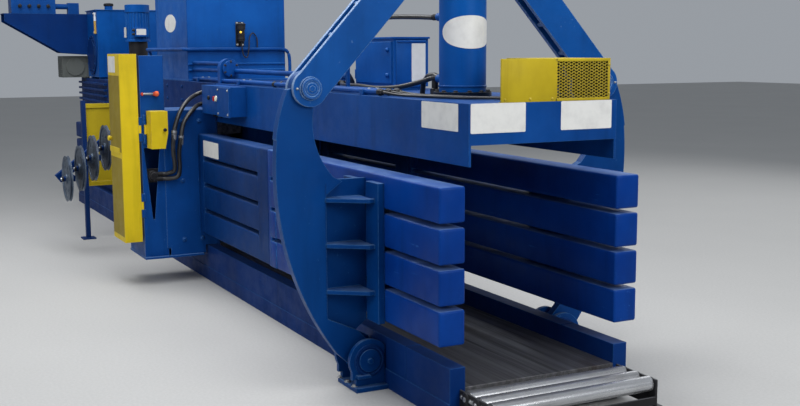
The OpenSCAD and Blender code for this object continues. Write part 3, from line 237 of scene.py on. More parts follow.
def repeated(piece, count, step, join=0.0):
    """Repeats a piece along a step, merging the corners that meet if asked."""
    row = piece.modifiers.new("row", "ARRAY")
    row.count = count
    row.use_relative_offset, row.use_constant_offset = False, True
    row.constant_offset_displace = step
    if join:
        row.use_merge_vertices, row.merge_threshold = True, join
    bpy.ops.object.modifier_apply(modifier="row")


def bead(start, end, size=0.004):
    """A weld bead along one corner: a single ripple, repeated along the run and closed at its ends."""
    start, end = Vector(start), Vector(end)
    run = end - start
    ripples = max(2, round(run.length / (size * 2.2)))
    pitch = run.length / ripples
    let_go()
    bpy.ops.mesh.primitive_circle_add(vertices=8, radius=size)
    weld = bpy.context.object
    enter("EDIT")
    bpy.ops.mesh.extrude_region_move(TRANSFORM_OT_translate={"value": (0, 0, pitch * 0.65)})
    bpy.ops.transform.resize(value=(1.25, 1.25, 1))
    bpy.ops.mesh.extrude_region_move(TRANSFORM_OT_translate={"value": (0, 0, pitch * 0.35)})
    bpy.ops.transform.resize(value=(0.8, 0.8, 1))
    enter("OBJECT")
    repeated(weld, ripples, (0, 0, pitch), 0.0002)
    enter("EDIT")
    bpy.ops.mesh.select_all(action="SELECT")
    bpy.ops.mesh.fill_holes(sides=0)
    bpy.ops.mesh.select_all(action="SELECT")
    bpy.ops.mesh.normals_make_consistent(inside=False)
    enter("OBJECT")
    bpy.ops.object.shade_smooth()
    weld.rotation_euler = run.to_track_quat("Z", "Y").to_euler()
    weld.location = start
    settle()
    return weld


# The frame's blue is set darker than the deck's blue: painted shade on the low parts of the machine.
frame_enamel_painted_shade = machine_enamel("frame_enamel_painted_shade", (0.0003, 0.014, 0.090), (0.0006, 0.024, 0.14), (0.030, 0.12, 0.33),
                              0.55, 0.15, 0.52, 0.006)
coat(frame_enamel_painted_shade, "base_rail_left", "base_rail_right", "charge_box", "ram_housing", "needle_frame",
     "sheave_bracket", "shelf_bracket", "cleanout_cover")
rail_low, rail_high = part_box("base_rail_left")
rail_trim = ("frame", frame_enamel_painted_shade, "frame_blue")
rail_face, rail_top, seam_x, seam_foot = rail_low.y + 0.005, rail_high.z, -0.45, 0.1
for side, s in (("left", 1), ("right", -1)):
    hang([bead((seam_x, s * rail_face, seam_foot), (seam_x, s * rail_face, rail_top), 0.003),
          bead((seam_x, s * rail_face, rail_top), (seam_x, s * rail_high.y, rail_top), 0.003)],
         "rail_seam_" + side, *rail_trim)


# Chamber floor and ram: bare plate, polished in long streaks by the bales that
# slide over it and brown elsewhere. Needles and twister shaft are bare bar.
def scoured_steel(name, dark, bright, rough=0.38, along=(0.08, 3.0, 3.0), brown=0.45):
    """Bare steel with long rub marks and patches of rust film."""
    steel, tree, shader = blank_finish(name)
    streak = speckle(tree, 8.0, 6.0, 0.7, along)
    colour = coat_over(tree, spread(tree, streak, 0.3, 0.7), dark + (1,), bright + (1,))
    film = spread(tree, speckle(tree, 2.5, 5.0, 0.6), 0.5, 0.75, 0.0, brown)
    rust = (0.10, 0.065, 0.045, 1)
    colour = coat_over(tree, film, colour, rust)
    tree.links.new(colour, shader.inputs["Base Color"])
    tree.links.new(spread(tree, streak, 0.2, 0.8, rough + 0.15, rough - 0.12), shader.inputs["Roughness"])
    soft = add_step(tree, "ShaderNodeBevel", {"Radius": 0.003}, samples=4).outputs[0]
    marks = add_step(tree, "ShaderNodeBump", {"Height": streak, "Strength": 0.1, "Distance": 0.002, "Normal": soft})
    tree.links.new(marks.outputs[0], shader.inputs["Normal"])
    shader.inputs["Metallic"].default_value = 0.85
    return steel


coat(scoured_steel("floor_steel", (0.10, 0.10, 0.105), (0.34, 0.34, 0.35)), "chamber_floor", "ram")
bright_bar = scoured_steel("bright_bar", (0.2, 0.2, 0.21), (0.5, 0.5, 0.52), 0.34)
coat(bright_bar, "needles", "twister_shaft")

# Discharge rollers: turned steel tube, worn bright, on shafts that run in
# cup bearings bolted to a low black frame.
up, down, forward, backward = (0, 0, 1), (0, 0, -1), (1, 0, 0), (-1, 0, 0)
nearside, farside = (0, -1, 0), (0, 1, 0)
roller_steel = scoured_steel("roller_steel", (0.30, 0.31, 0.33), (0.66, 0.67, 0.69), 0.27, (3.0, 0.15, 3.0), 0.25)
coat(roller_steel, "roller_1", "roller_2", "roller_3")
black_enamel = machine_enamel("black_enamel", (0.006, 0.006, 0.007), (0.016, 0.016, 0.018), (0.10, 0.10, 0.11),
                              0.6, 0.5)
coat(black_enamel, "roller_frame", "main_cylinder", "pump", "twister_motor")
black_trim = ("frame", black_enamel, "machine_black")


def turned(profile, centre, facing, around=40):
    """A round piece as off a lathe: a disc pushed out step by step, each step a radius and a height."""
    let_go()
    radius, height = profile[0]
    bpy.ops.mesh.primitive_circle_add(vertices=around, radius=radius, fill_type="NGON", location=(0, 0, height))
    piece = bpy.context.object
    settle()
    enter("EDIT")
    for next_radius, next_height in profile[1:]:
        bpy.ops.mesh.extrude_region_move(TRANSFORM_OT_translate={"value": (0, 0, next_height - height)})
        grow = next_radius / radius
        bpy.ops.transform.resize(value=(grow, grow, 1))
        radius, height = next_radius, next_height
    bpy.ops.mesh.select_all(action="SELECT")
    bpy.ops.mesh.normals_make_consistent(inside=False)
    enter("OBJECT")
    bpy.ops.object.shade_smooth_by_angle(angle=math.radians(32))
    piece.rotation_euler = Vector(facing).to_track_quat("Z", "Y").to_euler()
    piece.location = centre
    settle()
    return piece


def bolts(spots, facing, across=0.024):
    """Hexagon bolts on washers: one is turned and chamfered, the rest are copies at their spots."""
    let_go()
    bpy.ops.mesh.primitive_cylinder_add(vertices=6, radius=across * 0.577, depth=across * 0.42,
                                        location=(0, 0, across * 0.33))
    head = bpy.context.object
    enter("EDIT")
    bpy.ops.mesh.select_mode(type="FACE")
    bpy.ops.mesh.select_all(action="SELECT")
    bpy.ops.mesh.bevel(offset=across * 0.05, segments=1, affect="EDGES")
    enter("OBJECT")
    washer = [(across * 0.8, 0.0), (across * 0.95, across * 0.03), (across * 0.95, across * 0.1),
              (across * 0.85, across * 0.13)]
    first = joined([head, turned(washer, (0, 0, 0), up, 16)])
    settle()
    turn = Vector(facing).to_track_quat("Z", "Y").to_matrix().to_4x4()
    made = []
    for n, spot in enumerate(spots):
        copy = first.copy()
        copy.data = first.data.copy()
        bpy.context.collection.objects.link(copy)
        as_tightened = Matrix.Rotation(n * 0.7, 4, "Z")
        copy.data.transform(Matrix.Translation(spot) @ turn @ as_tightened)
        made.append(copy)
    bpy.data.objects.remove(first)
    return joined(made)


roller_xs, shaft_y, shaft_z = (0.06, 0.16, 0.26), 0.465, 0.135
cup = [(0.030, 0.0), (0.031, 0.004), (0.024, 0.007), (0.019, 0.009)]
hang([turned(cup, (x, s * shaft_y, shaft_z), (0, s, 0)) for x in roller_xs for s in (-1, 1)],
     "roller_bearings", *black_trim)
zinc = scoured_steel("zinc_plate", (0.30, 0.31, 0.32), (0.52, 0.54, 0.55), 0.4, (1.0, 1.0, 1.0), 0.3)
zinc_trim = ("frame", zinc, "roller_steel")
for side, s in (("left", -1), ("right", 1)):
    hang(bolts([(x + dx, s * shaft_y, shaft_z) for x in roller_xs for dx in (-0.04, 0.04)], (0, s, 0), 0.012),
         "roller_screws_" + side, *zinc_trim)

# Squeezing walls: four folded ribs a side, their corners rolled to 12 mm and
# rubbed pale, plug-welded to a slotted strip at the rear.
sides = (("left", -1), ("right", 1))
# Their dust is set high so the rib tops come out light: painted highlight as well as dust.
squeeze_enamel = machine_enamel("squeeze_enamel", (0.0004, 0.023, 0.170), (0.0010, 0.039, 0.245),
                                (0.05, 0.18, 0.47), 1.0, 0.7, 0.3, 0.012, 0.4)
rib_tops = [1.132 - 0.194 * n for n in range(4)]


def folded_bar(low, high, radius, steps=4):
    """A bar between two corners with all its edges rolled to one radius, as folded sheet is."""
    low, high = Vector(low), Vector(high)
    let_go()
    bpy.ops.mesh.primitive_cube_add(size=1, location=(low + high) / 2, scale=high - low)
    bar = bpy.context.object
    settle()
    enter("EDIT")
    bpy.ops.mesh.select_all(action="SELECT")
    bpy.ops.mesh.bevel(offset=radius, segments=steps, affect="EDGES")
    enter("OBJECT")
    bpy.ops.object.shade_smooth_by_angle(angle=math.radians(40))
    return bar


rib_high, rib_in, rib_out, strip_out, wall_foot = 0.170, 0.435, 0.575, 0.579, 0.380
for side, s in sides:
    low_y, high_y = sorted((s * rib_in, s * rib_out))
    bars = [folded_bar((-2.125, low_y, top - rib_high), (0, high_y, top), 0.012) for top in rib_tops]
    low_y, high_y = sorted((s * rib_in, s * strip_out))
    bars.append(folded_bar((-2.245, low_y, wall_foot), (-2.198, high_y, rib_tops[0]), 0.008, 2))
    bars += [folded_bar((-2.215, low_y, top - rib_high), (-2.120, high_y, top), 0.006, 2) for top in rib_tops]
    wall = hang(bars, "squeeze_wall_" + side, "squeeze_" + side, squeeze_enamel, "squeeze_blue")
    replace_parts(wall, "squeeze_ribs_" + side)

# Fixed walls behind them: the same ribs between two flat end panels, with the
# slots that the tying wires slide in.
wall_enamel = machine_enamel("wall_enamel", (0.0006, 0.019, 0.100), (0.0014, 0.032, 0.150), (0.04, 0.14, 0.36),
                             0.6, 0.2, 0.4, 0.010, 0.5)
end_panels = ((-3.77, -3.64), (-2.455, -2.25))
for side, s in sides:
    low_y, high_y = sorted((s * rib_in, s * rib_out))
    bars = [folded_bar((-3.66, low_y, top - rib_high), (-2.43, high_y, top), 0.016) for top in rib_tops]
    bars += [folded_bar((x0, low_y, wall_foot), (x1, high_y, rib_tops[0]), 0.014) for x0, x1 in end_panels]
    wall = hang(bars, "fixed_ribs_" + side, "frame", wall_enamel, "frame_blue")
    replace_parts(wall, "fixed_wall_" + side)

# Squeeze levers: 50 mm flame-cut plate bent like a bow, welded to the pad
# bars on the ribs through three gussets, with a turned boss at its foot.
lever_enamel = machine_enamel("lever_enamel", (0.0004, 0.028, 0.140), (0.0010, 0.043, 0.195), (0.05, 0.17, 0.38),
                              0.8, 0.5, 0.32, 0.006)
coat(lever_enamel, "lever_left", "lever_right", "pivot_bracket_left", "pivot_bracket_right", "base_pins")
for side, s in sides:
    seams = []
    for gusset_foot in (0.990, 0.755, 0.515):
        for z in (gusset_foot, gusset_foot + 0.020):
            seams.append(bead((-0.752, s * 0.812, z), (-0.600, s * 0.610, z), 0.0035))
            seams.append(bead((-0.755, s * 0.611, z), (-0.640, s * 0.611, z), 0.0035))
    for x in (-0.710, -0.570):
        seams.append(bead((x, s * 0.576, 0.385), (x, s * 0.576, 1.088), 0.004))
    for seam_foot, seam_head in ((0.385, 0.510), (0.540, 0.750), (0.780, 0.985), (1.015, 1.085)):
        seams.append(bead((-0.7545, s * 0.815, seam_foot), (-0.7545, s * 0.815, seam_head), 0.0035))
    hang(seams, "lever_welds_" + side, "squeeze_" + side, lever_enamel, "squeeze_blue")


# A-frame links: two plates a side with spacer bars between, their sawn edges painted pale as a highlight
# and speckled like rubbed paint, on a turned pin with a keeper ring, bolt and grease nipple.
def lay_on(finish, amount, over):
    """Lays one more colour over a finish, by an amount worked out in its own tree."""
    tree = finish.node_tree
    base = tree.nodes["Principled BSDF"].inputs["Base Color"]
    tree.links.new(coat_over(tree, amount, base.links[0].from_socket, over + (1,)), base)


link_enamel = machine_enamel("link_enamel", (0.0016, 0.045, 0.200), (0.0040, 0.070, 0.290), (0.20, 0.34, 0.52),
                             0.9, 0.5, 0.33, 0.006)
tree = link_enamel.node_tree
# Faces that do not look along X, the sawn edges, are painted pale: a painted highlight, speckled like wear.
sideways = add_step(tree, "ShaderNodeSeparateXYZ",
                    {0: add_step(tree, "ShaderNodeNewGeometry", {}).outputs["Normal"]}).outputs["X"]
across = add_step(tree, "ShaderNodeMath", {0: sideways}, operation="ABSOLUTE").outputs[0]
sawn_edge_highlight_and_wear = times(tree, spread(tree, across, 0.5, 0.2), spread(tree, speckle(tree, 30.0, 4.0, 0.7), 0.3, 0.6, 0.45, 0.85))
lay_on(link_enamel, sawn_edge_highlight_and_wear, (0.24, 0.34, 0.52))
coat(link_enamel, "link_left", "link_right")
for side, s in sides:
    eye = Vector((-0.713, s * 0.900, 1.567))
    cap = turned([(0.052, -0.002), (0.052, 0.006), (0.049, 0.009), (0.040, 0.009), (0.038, 0.006), (0.030, 0.006),
                  (0.028, 0.009), (0.012, 0.009)], eye, forward)
    rear = turned([(0.052, -0.002), (0.052, 0.006), (0.048, 0.009), (0.012, 0.009)],
                  eye - Vector((0.134, 0, 0)), backward)
    hang([cap, rear], "link_pin_caps_" + side, "link_" + side, link_enamel, "squeeze_blue")
    nipple = turned([(0.006, 0.0), (0.006, 0.008), (0.003, 0.010), (0.0045, 0.014), (0.002, 0.018)],
                    eye + Vector((-0.014, s * 0.072, 0.0)), forward, 12)
    hang(nipple, "link_nipple_" + side, "link_" + side, zinc, "roller_steel")


# Crosshead: a welded head on the tension cylinder's rod. The rod is ground
# and chromed, and the head is painted.
def where(tree):
    """The piece's own coordinates, as X, Y and Z."""
    place = add_step(tree, "ShaderNodeTexCoord", {}).outputs["Object"]
    return add_step(tree, "ShaderNodeSeparateXYZ", {0: place}).outputs


chrome, tree, shader = blank_finish("rod_chrome")
painted = spread(tree, where(tree)["Z"], 2.268, 2.272)
mist = speckle(tree, 40.0, 4.0, 0.6, (1.0, 1.0, 0.15))
bare = coat_over(tree, mist, (0.50, 0.51, 0.53, 1), (0.68, 0.69, 0.71, 1))
paint = coat_over(tree, speckle(tree, 2.0, 5.0), (0.0015, 0.036, 0.165, 1), (0.0035, 0.056, 0.235, 1))
tree.links.new(coat_over(tree, painted, bare, paint), shader.inputs["Base Color"])
tree.links.new(spread(tree, painted, 0.0, 1.0, 1.0, 0.0), shader.inputs["Metallic"])
tree.links.new(spread(tree, painted, 0.0, 1.0, 0.12, 0.42), shader.inputs["Roughness"])
coat(chrome, "crosshead")
head_z, pin_ys = 2.440, (-0.100, 0.100)
ends = []
for y in pin_ys:
    for x, facing in ((-0.780 + 0.065, 1), (-0.780 - 0.065, -1)):
        ends.append(turned([(0.044, -0.002), (0.044, 0.004), (0.040, 0.006), (0.014, 0.006)],
                           (x, y, head_z), (facing, 0, 0)))
hang(ends, "crosshead_pin_caps", "crosshead", link_enamel, "squeeze_blue")
hang(bolts([(-0.709, y, head_z) for y in pin_ys], forward, 0.030), "crosshead_bolts", "crosshead", zinc,
     "roller_steel")

# Pivot brackets: burnt plate on a foot, with a loose ring, a pin head and a
# centre bolt in front, seam-welded down to the foot and the rail.
for side, s in sides:
    rim = turned([(0.086, 0.0), (0.086, 0.004), (0.082, 0.007), (0.074, 0.007), (0.071, 0.004), (0.062, 0.004)],
                 (-0.680, s * 0.612, 0.155), forward)
    seams = [bead((-0.678, s * 0.525, 0.025), (-0.678, s * 0.690, 0.025), 0.004),
             bead((-0.678, s * 0.524, 0.030), (-0.678, s * 0.524, 0.250), 0.004),
             bead((-0.882, s * 0.525, 0.025), (-0.882, s * 0.690, 0.025), 0.004)]
    hang([rim] + seams, "bracket_ring_" + side, *rail_trim)
    hang(bolts([(x, s * 0.694, 0.024) for x in (-0.87, -0.78, -0.69)], up, 0.020),
         "bracket_anchors_" + side, *zinc_trim)


# Tension cylinder: a 252 mm barrel bolted to the deck through its black bottom
# flange, with a bolted gland at the top and a port at each end.
def worked(tree, step, one, other):
    """One sum on two values, or one comparison of them."""
    return add_step(tree, "ShaderNodeMath", {0: one, 1: other}, operation=step).outputs[0]


def ring(centre, radius, count, first, upright=False):
    """Spots evenly round a centre, on a level face or on one that looks along X."""
    x, y, z = centre
    made = []
    for n in range(count):
        angle = math.radians(first + 360 / count * n)
        one, other = radius * math.cos(angle), radius * math.sin(angle)
        made.append((x, y + one, z + other) if upright else (x + one, y + other, z))
    return made


panel_enamel = machine_enamel("panel_enamel", (0.0010, 0.034, 0.170), (0.0024, 0.055, 0.250), (0.06, 0.19, 0.44),
                              0.5, 0.18, 0.36, 0.005)
coat(panel_enamel, "top_beam", "control_box", "top_pipes", "valve_box", "star_wheel")
blue_trim = ("frame", panel_enamel, "panel_blue")
bright_enamel = machine_enamel("bright_enamel", (0.0012, 0.048, 0.225), (0.0030, 0.078, 0.330), (0.07, 0.22, 0.50),
                               0.5, 0.2, 0.34, 0.005)
coat(bright_enamel, "hopper", "cabinet", "reservoir", "motor")
barrel_finish = bright_enamel.copy()
barrel_finish.name = "barrel_enamel"
tree = barrel_finish.node_tree
flange_top, barrel_x = 1.5325, -0.780
lay_on(barrel_finish, worked(tree, "LESS_THAN", where(tree)["Z"], flange_top), (0.003, 0.006, 0.016))
coat(barrel_finish, "tension_barrel")
for name, height, radius, count, first in (("flange", 1.531, 0.141, 12, 15), ("gland", 2.150, 0.098, 8, 22.5)):
    hang(bolts(ring((barrel_x, 0, height), radius, count, first), up, 0.020),
         "barrel_%s_bolts" % name, *black_trim)
hang([turned([(0.138, 0.0), (0.141, 0.004), (0.141, 0.010), (0.127, 0.014)], (barrel_x, 0, 2.066), up, 64),
      turned([(0.1275, 0.0), (0.1295, 0.003), (0.1295, 0.009), (0.1275, 0.012)], (barrel_x, 0, 1.556), up, 64),
      bead((-0.905, -0.022, 1.577), (-0.905, -0.022, 1.621), 0.003)], "barrel_rings", *blue_trim)

# Cylinder hoses: 28 mm rubber hose with crimped ferrules and steel elbows,
# from the ports to the manifold, resting on the deck in long waves.
rubber, tree, shader = blank_finish("hose_rubber")
soil = speckle(tree, 14.0, 5.0, 0.65)
colour = coat_over(tree, spread(tree, soil, 0.35, 0.75), (0.008, 0.008, 0.009, 1), (0.028, 0.028, 0.030, 1))
tree.links.new(colour, shader.inputs["Base Color"])
tree.links.new(spread(tree, soil, 0.3, 0.7, 0.26, 0.45), shader.inputs["Roughness"])
wrap = add_step(tree, "ShaderNodeBump", {"Height": speckle(tree, 320.0, 2.0, 0.6), "Strength": 0.15,
                                         "Distance": 0.001})
tree.links.new(wrap.outputs[0], shader.inputs["Normal"])


def eased(points, parts):
    """A smooth run through given points, with its first and last stretch straight."""
    inner = [Vector(p) / 1000 for p in points[1:-1]]
    run = [Vector(points[0]) / 1000]
    for n in range(len(inner) - 1):
        a, b, c, d = inner[max(n - 1, 0)], inner[n], inner[n + 1], inner[min(n + 2, len(inner) - 1)]
        for k in range(parts):
            t = k / parts
            run.append(0.5 * (2 * b + (c - a) * t + (2 * a - 5 * b + 4 * c - d) * t * t
                              + (3 * b - a - 3 * c + d) * t * t * t))
    return run + [inner[-1], Vector(points[-1]) / 1000]


def hose(points, thick, parts=7, around=5):
    """A round hose or pipe along a run, given in millimetres, closed at its ends."""
    let_go()
    line = bpy.data.curves.new("run", "CURVE")
    line.dimensions = "3D"
    line.bevel_depth = thick / 2000
    line.bevel_resolution = around
    line.use_fill_caps = True
    run = eased(points, parts)
    spline = line.splines.new("POLY")
    spline.points.add(len(run) - 1)
    for spot, p in zip(spline.points, run):
        spot.co = (p.x, p.y, p.z, 1)
    made = bpy.data.objects.new("run", line)
    bpy.context.collection.objects.link(made)
    made.select_set(True)
    bpy.context.view_layer.objects.active = made
    bpy.ops.object.convert(target="MESH")
    made = bpy.context.object
    enter("EDIT")
    bpy.ops.mesh.select_all(action="SELECT")
    bpy.ops.mesh.remove_doubles(threshold=0.0001)
    bpy.ops.mesh.normals_make_consistent(inside=False)
    enter("OBJECT")
    bpy.ops.object.shade_smooth_by_angle(angle=math.radians(50))
    return made


def ferrule(spot, facing, thick):
    """Hose end: a hexagon nut, a collar and a crimped sleeve with its grooves."""
    r = thick / 2000
    sleeve = [(r * 0.7, -0.004), (r * 1.3, -0.004), (r * 1.3, 0.016), (r * 1.02, 0.018), (r * 1.02, 0.024)]
    for n in range(4):
        h = 0.024 + 0.009 * n
        sleeve += [(r * 1.22, h), (r * 1.22, h + 0.006), (r * 1.12, h + 0.0065), (r * 1.12, h + 0.009)]
    sleeve += [(r * 1.15, 0.062), (r * 1.0, 0.064)]
    return turned(sleeve, spot, facing, 24)


lower_hose = [(-936, -60, 1599), (-1020, -60, 1599), (-1110, -90, 1575), (-1250, -150, 1545), (-1450, -190, 1536),
              (-1700, -190, 1542), (-1950, -170, 1538), (-2160, -90, 1538), (-2300, -25, 1540), (-2339.7, -25, 1540)]
upper_hose = [(-936, -60, 1930), (-1020, -60, 1930), (-1200, -60, 1938), (-1500, -70, 1945), (-1800, -80, 1938),
              (-2080, -90, 1900), (-2260, -85, 1800), (-2270, -60, 1690), (-2215, -20, 1600), (-2215, 10, 1548),
              (-2260, 20, 1540), (-2339.7, 20, 1540)]
hoses = hang([hose(lower_hose, 28), hose(upper_hose, 28)], "barrel_hoses", "frame", rubber, "hose_black")
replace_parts(hoses, "cylinder_hoses")
hang([ferrule((-0.934, -0.060, z), backward, 28) for z in (1.599, 1.930)]
     + [ferrule((-2.338, y, 1.540), forward, 28) for y in (-0.025, 0.020)], "barrel_hose_ends", *black_trim)

# Top beam: welded plate girder over the chamber, with its deck seams and
# blank off-white plates where the real one carries signs.
beam_low, beam_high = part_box("top_beam")
seam_xs, skirt_y, skirt_foot = (-1.52, -2.62), beam_high.y + 0.0005, beam_low.z + 0.0015
hang([bead((x, s * skirt_y, skirt_foot), (x, s * skirt_y, 1.5080), 0.0028) for s in (-1, 1) for x in seam_xs]
     + [bead((x, -0.420, 1.5092), (x, 0.420, 1.5092), 0.0028) for x in seam_xs], "beam_seams", *blue_trim)
plate_finish, tree, shader = blank_finish("blank_plate")
age = speckle(tree, 14.0, 5.0, 0.6)
colour = coat_over(tree, spread(tree, age, 0.35, 0.85), (0.66, 0.66, 0.64, 1), (0.54, 0.54, 0.53, 1))
tree.links.new(colour, shader.inputs["Base Color"])
tree.links.new(spread(tree, age, 0.3, 0.8, 0.35, 0.6), shader.inputs["Roughness"])
plate_trim = ("frame", plate_finish, "panel_blue")


def blank_plate(centre, size, facing, corner=0.006):
    """A thin blank plate with rounded corners, lying on a face that looks along an axis."""
    across = {"x": (0.0014, size[0], size[1]), "y": (size[0], 0.0014, size[1])}[facing]
    let_go()
    bpy.ops.mesh.primitive_cube_add(size=1, location=centre, scale=across)
    plate = bpy.context.object
    settle()
    enter("EDIT")
    bpy.ops.mesh.select_mode(type="EDGE")
    bpy.ops.mesh.select_all(action="DESELECT")
    enter("OBJECT")
    axis = {"x": 0, "y": 1}[facing]
    for edge in plate.data.edges:
        a, b = (plate.data.vertices[v].co for v in edge.vertices)
        edge.select = abs(a[axis] - b[axis]) > 0.001
    enter("EDIT")
    bpy.ops.mesh.bevel(offset=corner, segments=4, affect="EDGES")
    enter("OBJECT")
    return plate


hang([blank_plate((-0.277, -0.4217, 1.440), (0.360, 0.130), "y")], "beam_plate_side", *plate_trim)
hang([blank_plate((0.0007, y, 1.440), (0.300, 0.138), "x") for y in (-0.262, 0.240)], "beam_plates_end", *plate_trim)

# Barrel plate: a blank oval of thin sheet, punched flat, then rolled to the
# barrel's round and stuck on it.
plate_round, plate_half, plate_rise, plate_turn = 0.1268, 0.173, 0.086, math.radians(-8.4)
let_go()
bpy.ops.mesh.primitive_grid_add(x_subdivisions=80, y_subdivisions=3, size=1, location=(0, 0, 0))
sheet = bpy.context.object
sheet.scale = (2.1 * plate_half, 2.4 * plate_rise, 1)
sheet.rotation_euler = (math.pi / 2, 0, 0)
settle()
thick = sheet.modifiers.new("thick", "SOLIDIFY")
thick.thickness = 0.0012
thick.offset = 0
bpy.ops.object.modifier_apply(modifier="thick")
let_go()
bpy.ops.mesh.primitive_cylinder_add(vertices=96, radius=1, depth=0.2, location=(0, 0, 0))
punch = bpy.context.object
punch.scale = (plate_half, plate_rise, 1)
punch.rotation_euler = (math.pi / 2, 0, 0)
settle()
let_go()
sheet.select_set(True)
bpy.context.view_layer.objects.active = sheet
trim = sheet.modifiers.new("trim", "BOOLEAN")
trim.operation = "INTERSECT"
trim.object = punch
bpy.ops.object.modifier_apply(modifier="trim")
bpy.data.objects.remove(punch)
rolled = sheet.modifiers.new("rolled", "SIMPLE_DEFORM")
rolled.deform_method = "BEND"
rolled.deform_axis = "Z"
rolled.angle = 2 * plate_half / plate_round
bpy.ops.object.modifier_apply(modifier="rolled")
inward = 1 if sum(v.co.y for v in sheet.data.vertices) > 0 else -1
swing = Matrix.Rotation(plate_turn + inward * math.pi / 2, 4, "Z")
sheet.matrix_world = Matrix.Translation((-0.780, 0, 1.846)) @ swing @ Matrix.Translation((0, -inward * plate_round, 0))
bpy.ops.object.shade_smooth_by_angle(angle=math.radians(30))
hang(sheet, "barrel_plate", *plate_trim)

# Screen guard: a 3 mm sheet box in safety yellow over the measuring wheel, with
# a flat wing on its left and a panel of expanded metal, slit and drawn from
# sheet, screwed in a border on its right.
screen_enamel = machine_enamel("screen_yellow", (0.36, 0.265, 0.008), (0.49, 0.375, 0.012), (0.64, 0.55, 0.18),
                               0.4, 0.3, 0.45, 0.003, 0.4)
sheets = [folded_bar(low, high, 0.0012, 2) for low, high in (
    ((-0.005, -0.246, 1.509), (-0.002, 0.067, 1.712)),
    ((-0.005, 0.366, 1.509), (-0.002, 0.380, 1.712)),
    ((-0.005, 0.060, 1.698), (-0.002, 0.370, 1.712)),
    ((-0.005, 0.060, 1.509), (-0.002, 0.370, 1.523)),
    ((-0.430, 0.053, 1.709), (-0.003, 0.380, 1.712)),
    ((-0.430, 0.053, 1.509), (-0.003, 0.056, 1.711)),
    ((-0.430, 0.377, 1.509), (-0.003, 0.380, 1.711)),
    ((-0.430, 0.054, 1.509), (-0.427, 0.379, 1.711)),
    ((-0.012, -0.246, 1.509), (-0.003, -0.243, 1.712)),
    ((-0.024, -0.246, 1.509), (-0.003, 0.056, 1.512)),
)]
guard_box_finish_painted_shade = screen_enamel.copy()
guard_box_finish_painted_shade.name = "guard_box_paint_shaded_inside"
tree = guard_box_finish_painted_shade.node_tree
spot = where(tree)
# Inside the box the yellow is painted near black: painted shade in the closed box.
inside = 1.0
for along, low, high in (("X", -0.4278, -0.0066), ("Y", 0.0552, 0.3778), ("Z", 1.40, 1.7098)):
    for step, edge in (("GREATER_THAN", low), ("LESS_THAN", high)):
        inside = times(tree, inside, worked(tree, step, spot[along], edge))
lay_on(guard_box_finish_painted_shade, inside, (0.004, 0.004, 0.005))
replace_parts(hang(sheets, "wheel_guard", "frame", guard_box_finish_painted_shade, "screen_yellow"), "screen_guard")


def strands(lean):
    """One set of slanted strands across the opening, trimmed at its border."""
    let_go()
    bpy.ops.mesh.primitive_cube_add(size=1, location=(-0.0055, -0.33, 1.611), scale=(0.0016, 0.60, 0.0034))
    bar = bpy.context.object
    bar.rotation_euler = (math.radians(lean), 0, 0)
    settle()
    repeated(bar, 37, (0, 0.030, 0))
    enter("EDIT")
    for place, facing in (((0, 0.064, 0), nearside), ((0, 0.369, 0), farside),
                          ((0, 0, 1.520), down), ((0, 0, 1.701), up)):
        bpy.ops.mesh.select_all(action="SELECT")
        bpy.ops.mesh.bisect(plane_co=place, plane_no=facing, use_fill=True, clear_outer=True)
    enter("OBJECT")
    return bar


mesh = hang([strands(26), strands(-26)], "expanded_metal", "frame", screen_enamel, "screen_yellow")
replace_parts(mesh, "screen_mesh")
hang(bolts([(-0.002, y, 1.5225) for y in (-0.225, -0.085, 0.040)] + [(-0.002, 0.373, z) for z in (1.54, 1.68)],
           forward, 0.008),
     "guard_screws", "frame", screen_enamel, "screen_yellow")

# Wire guard: a yellow sheet panel beside the wire path, folded at its edges and
# carried by a blue post and arm. They are one solid, so the paint parts them.
rack_finish = screen_enamel.copy()
rack_finish.name = "rack_paint"
tree = rack_finish.node_tree
spot = where(tree)
blue = worked(tree, "MAXIMUM", worked(tree, "LESS_THAN", spot["Y"], -0.9402),
              worked(tree, "LESS_THAN", spot["Z"], 0.02))
blue = worked(tree, "MAXIMUM", blue, worked(tree, "GREATER_THAN", spot["Y"], -0.5398))
lay_on(rack_finish, blue, (0.0015, 0.022, 0.11))
coat(rack_finish, "wire_guard")

# Deck pipes: three drawn steel pipes clamped to the deck and raised ones from an
# anchor block, with black unions, a support post with a tee, and rubber hoses
# that run on over the deck to the front.
pipe_z, deck_top = 1.531, 1.511
pipe_bolts = [(x + 0.020, y, 1.541) for x in (-4.30, -3.30, -2.30, -1.20) for y in (-0.365, -0.315)]
hang(bolts(pipe_bolts, up, 0.014), "pipe_clamp_bolts", *zinc_trim)
unions = []
for y in (-0.390, -0.340, -0.290):
    unions.append(turned([(0.0135, -0.002), (0.020, 0.0), (0.020, 0.030), (0.0165, 0.034), (0.0165, 0.050),
                          (0.010, 0.052)], (-1.002, y, pipe_z), forward, 6))
    unions.append(turned([(0.0165, 0.0), (0.020, 0.004), (0.020, 0.028), (0.0165, 0.032)],
                         (-2.60, y, pipe_z), forward, 6))
hang(unions, "pipe_unions", *black_trim)
runs = []
for n, y in enumerate((-390, -340, -290)):
    runs.append(hose([(-952, y, 1531), (-925, y, 1530), (-820, y + 30, 1520), (-620, y + 60 - 10 * n, 1520),
                      (-430, -270 + 34 * n, 1520), (-300 + 24 * n, -180 + 22 * n, 1520),
                      (-190 + 40 * n, -60 + 10 * n, 1520), (-170 + 40 * n, 50, 1520)], 16))
runs.append(hose([(-930, -46, 1600), (-1000, -50, 1616), (-1075, -50, 1608), (-1130, -49, 1570),
                  (-1145, -48, 1511)], 30))
runs.append(turned([(0.020, 0.0), (0.027, 0.002), (0.027, 0.030), (0.019, 0.034), (0.019, 0.078), (0.012, 0.080)],
                   (-0.985, -0.055, deck_top), up, 32))
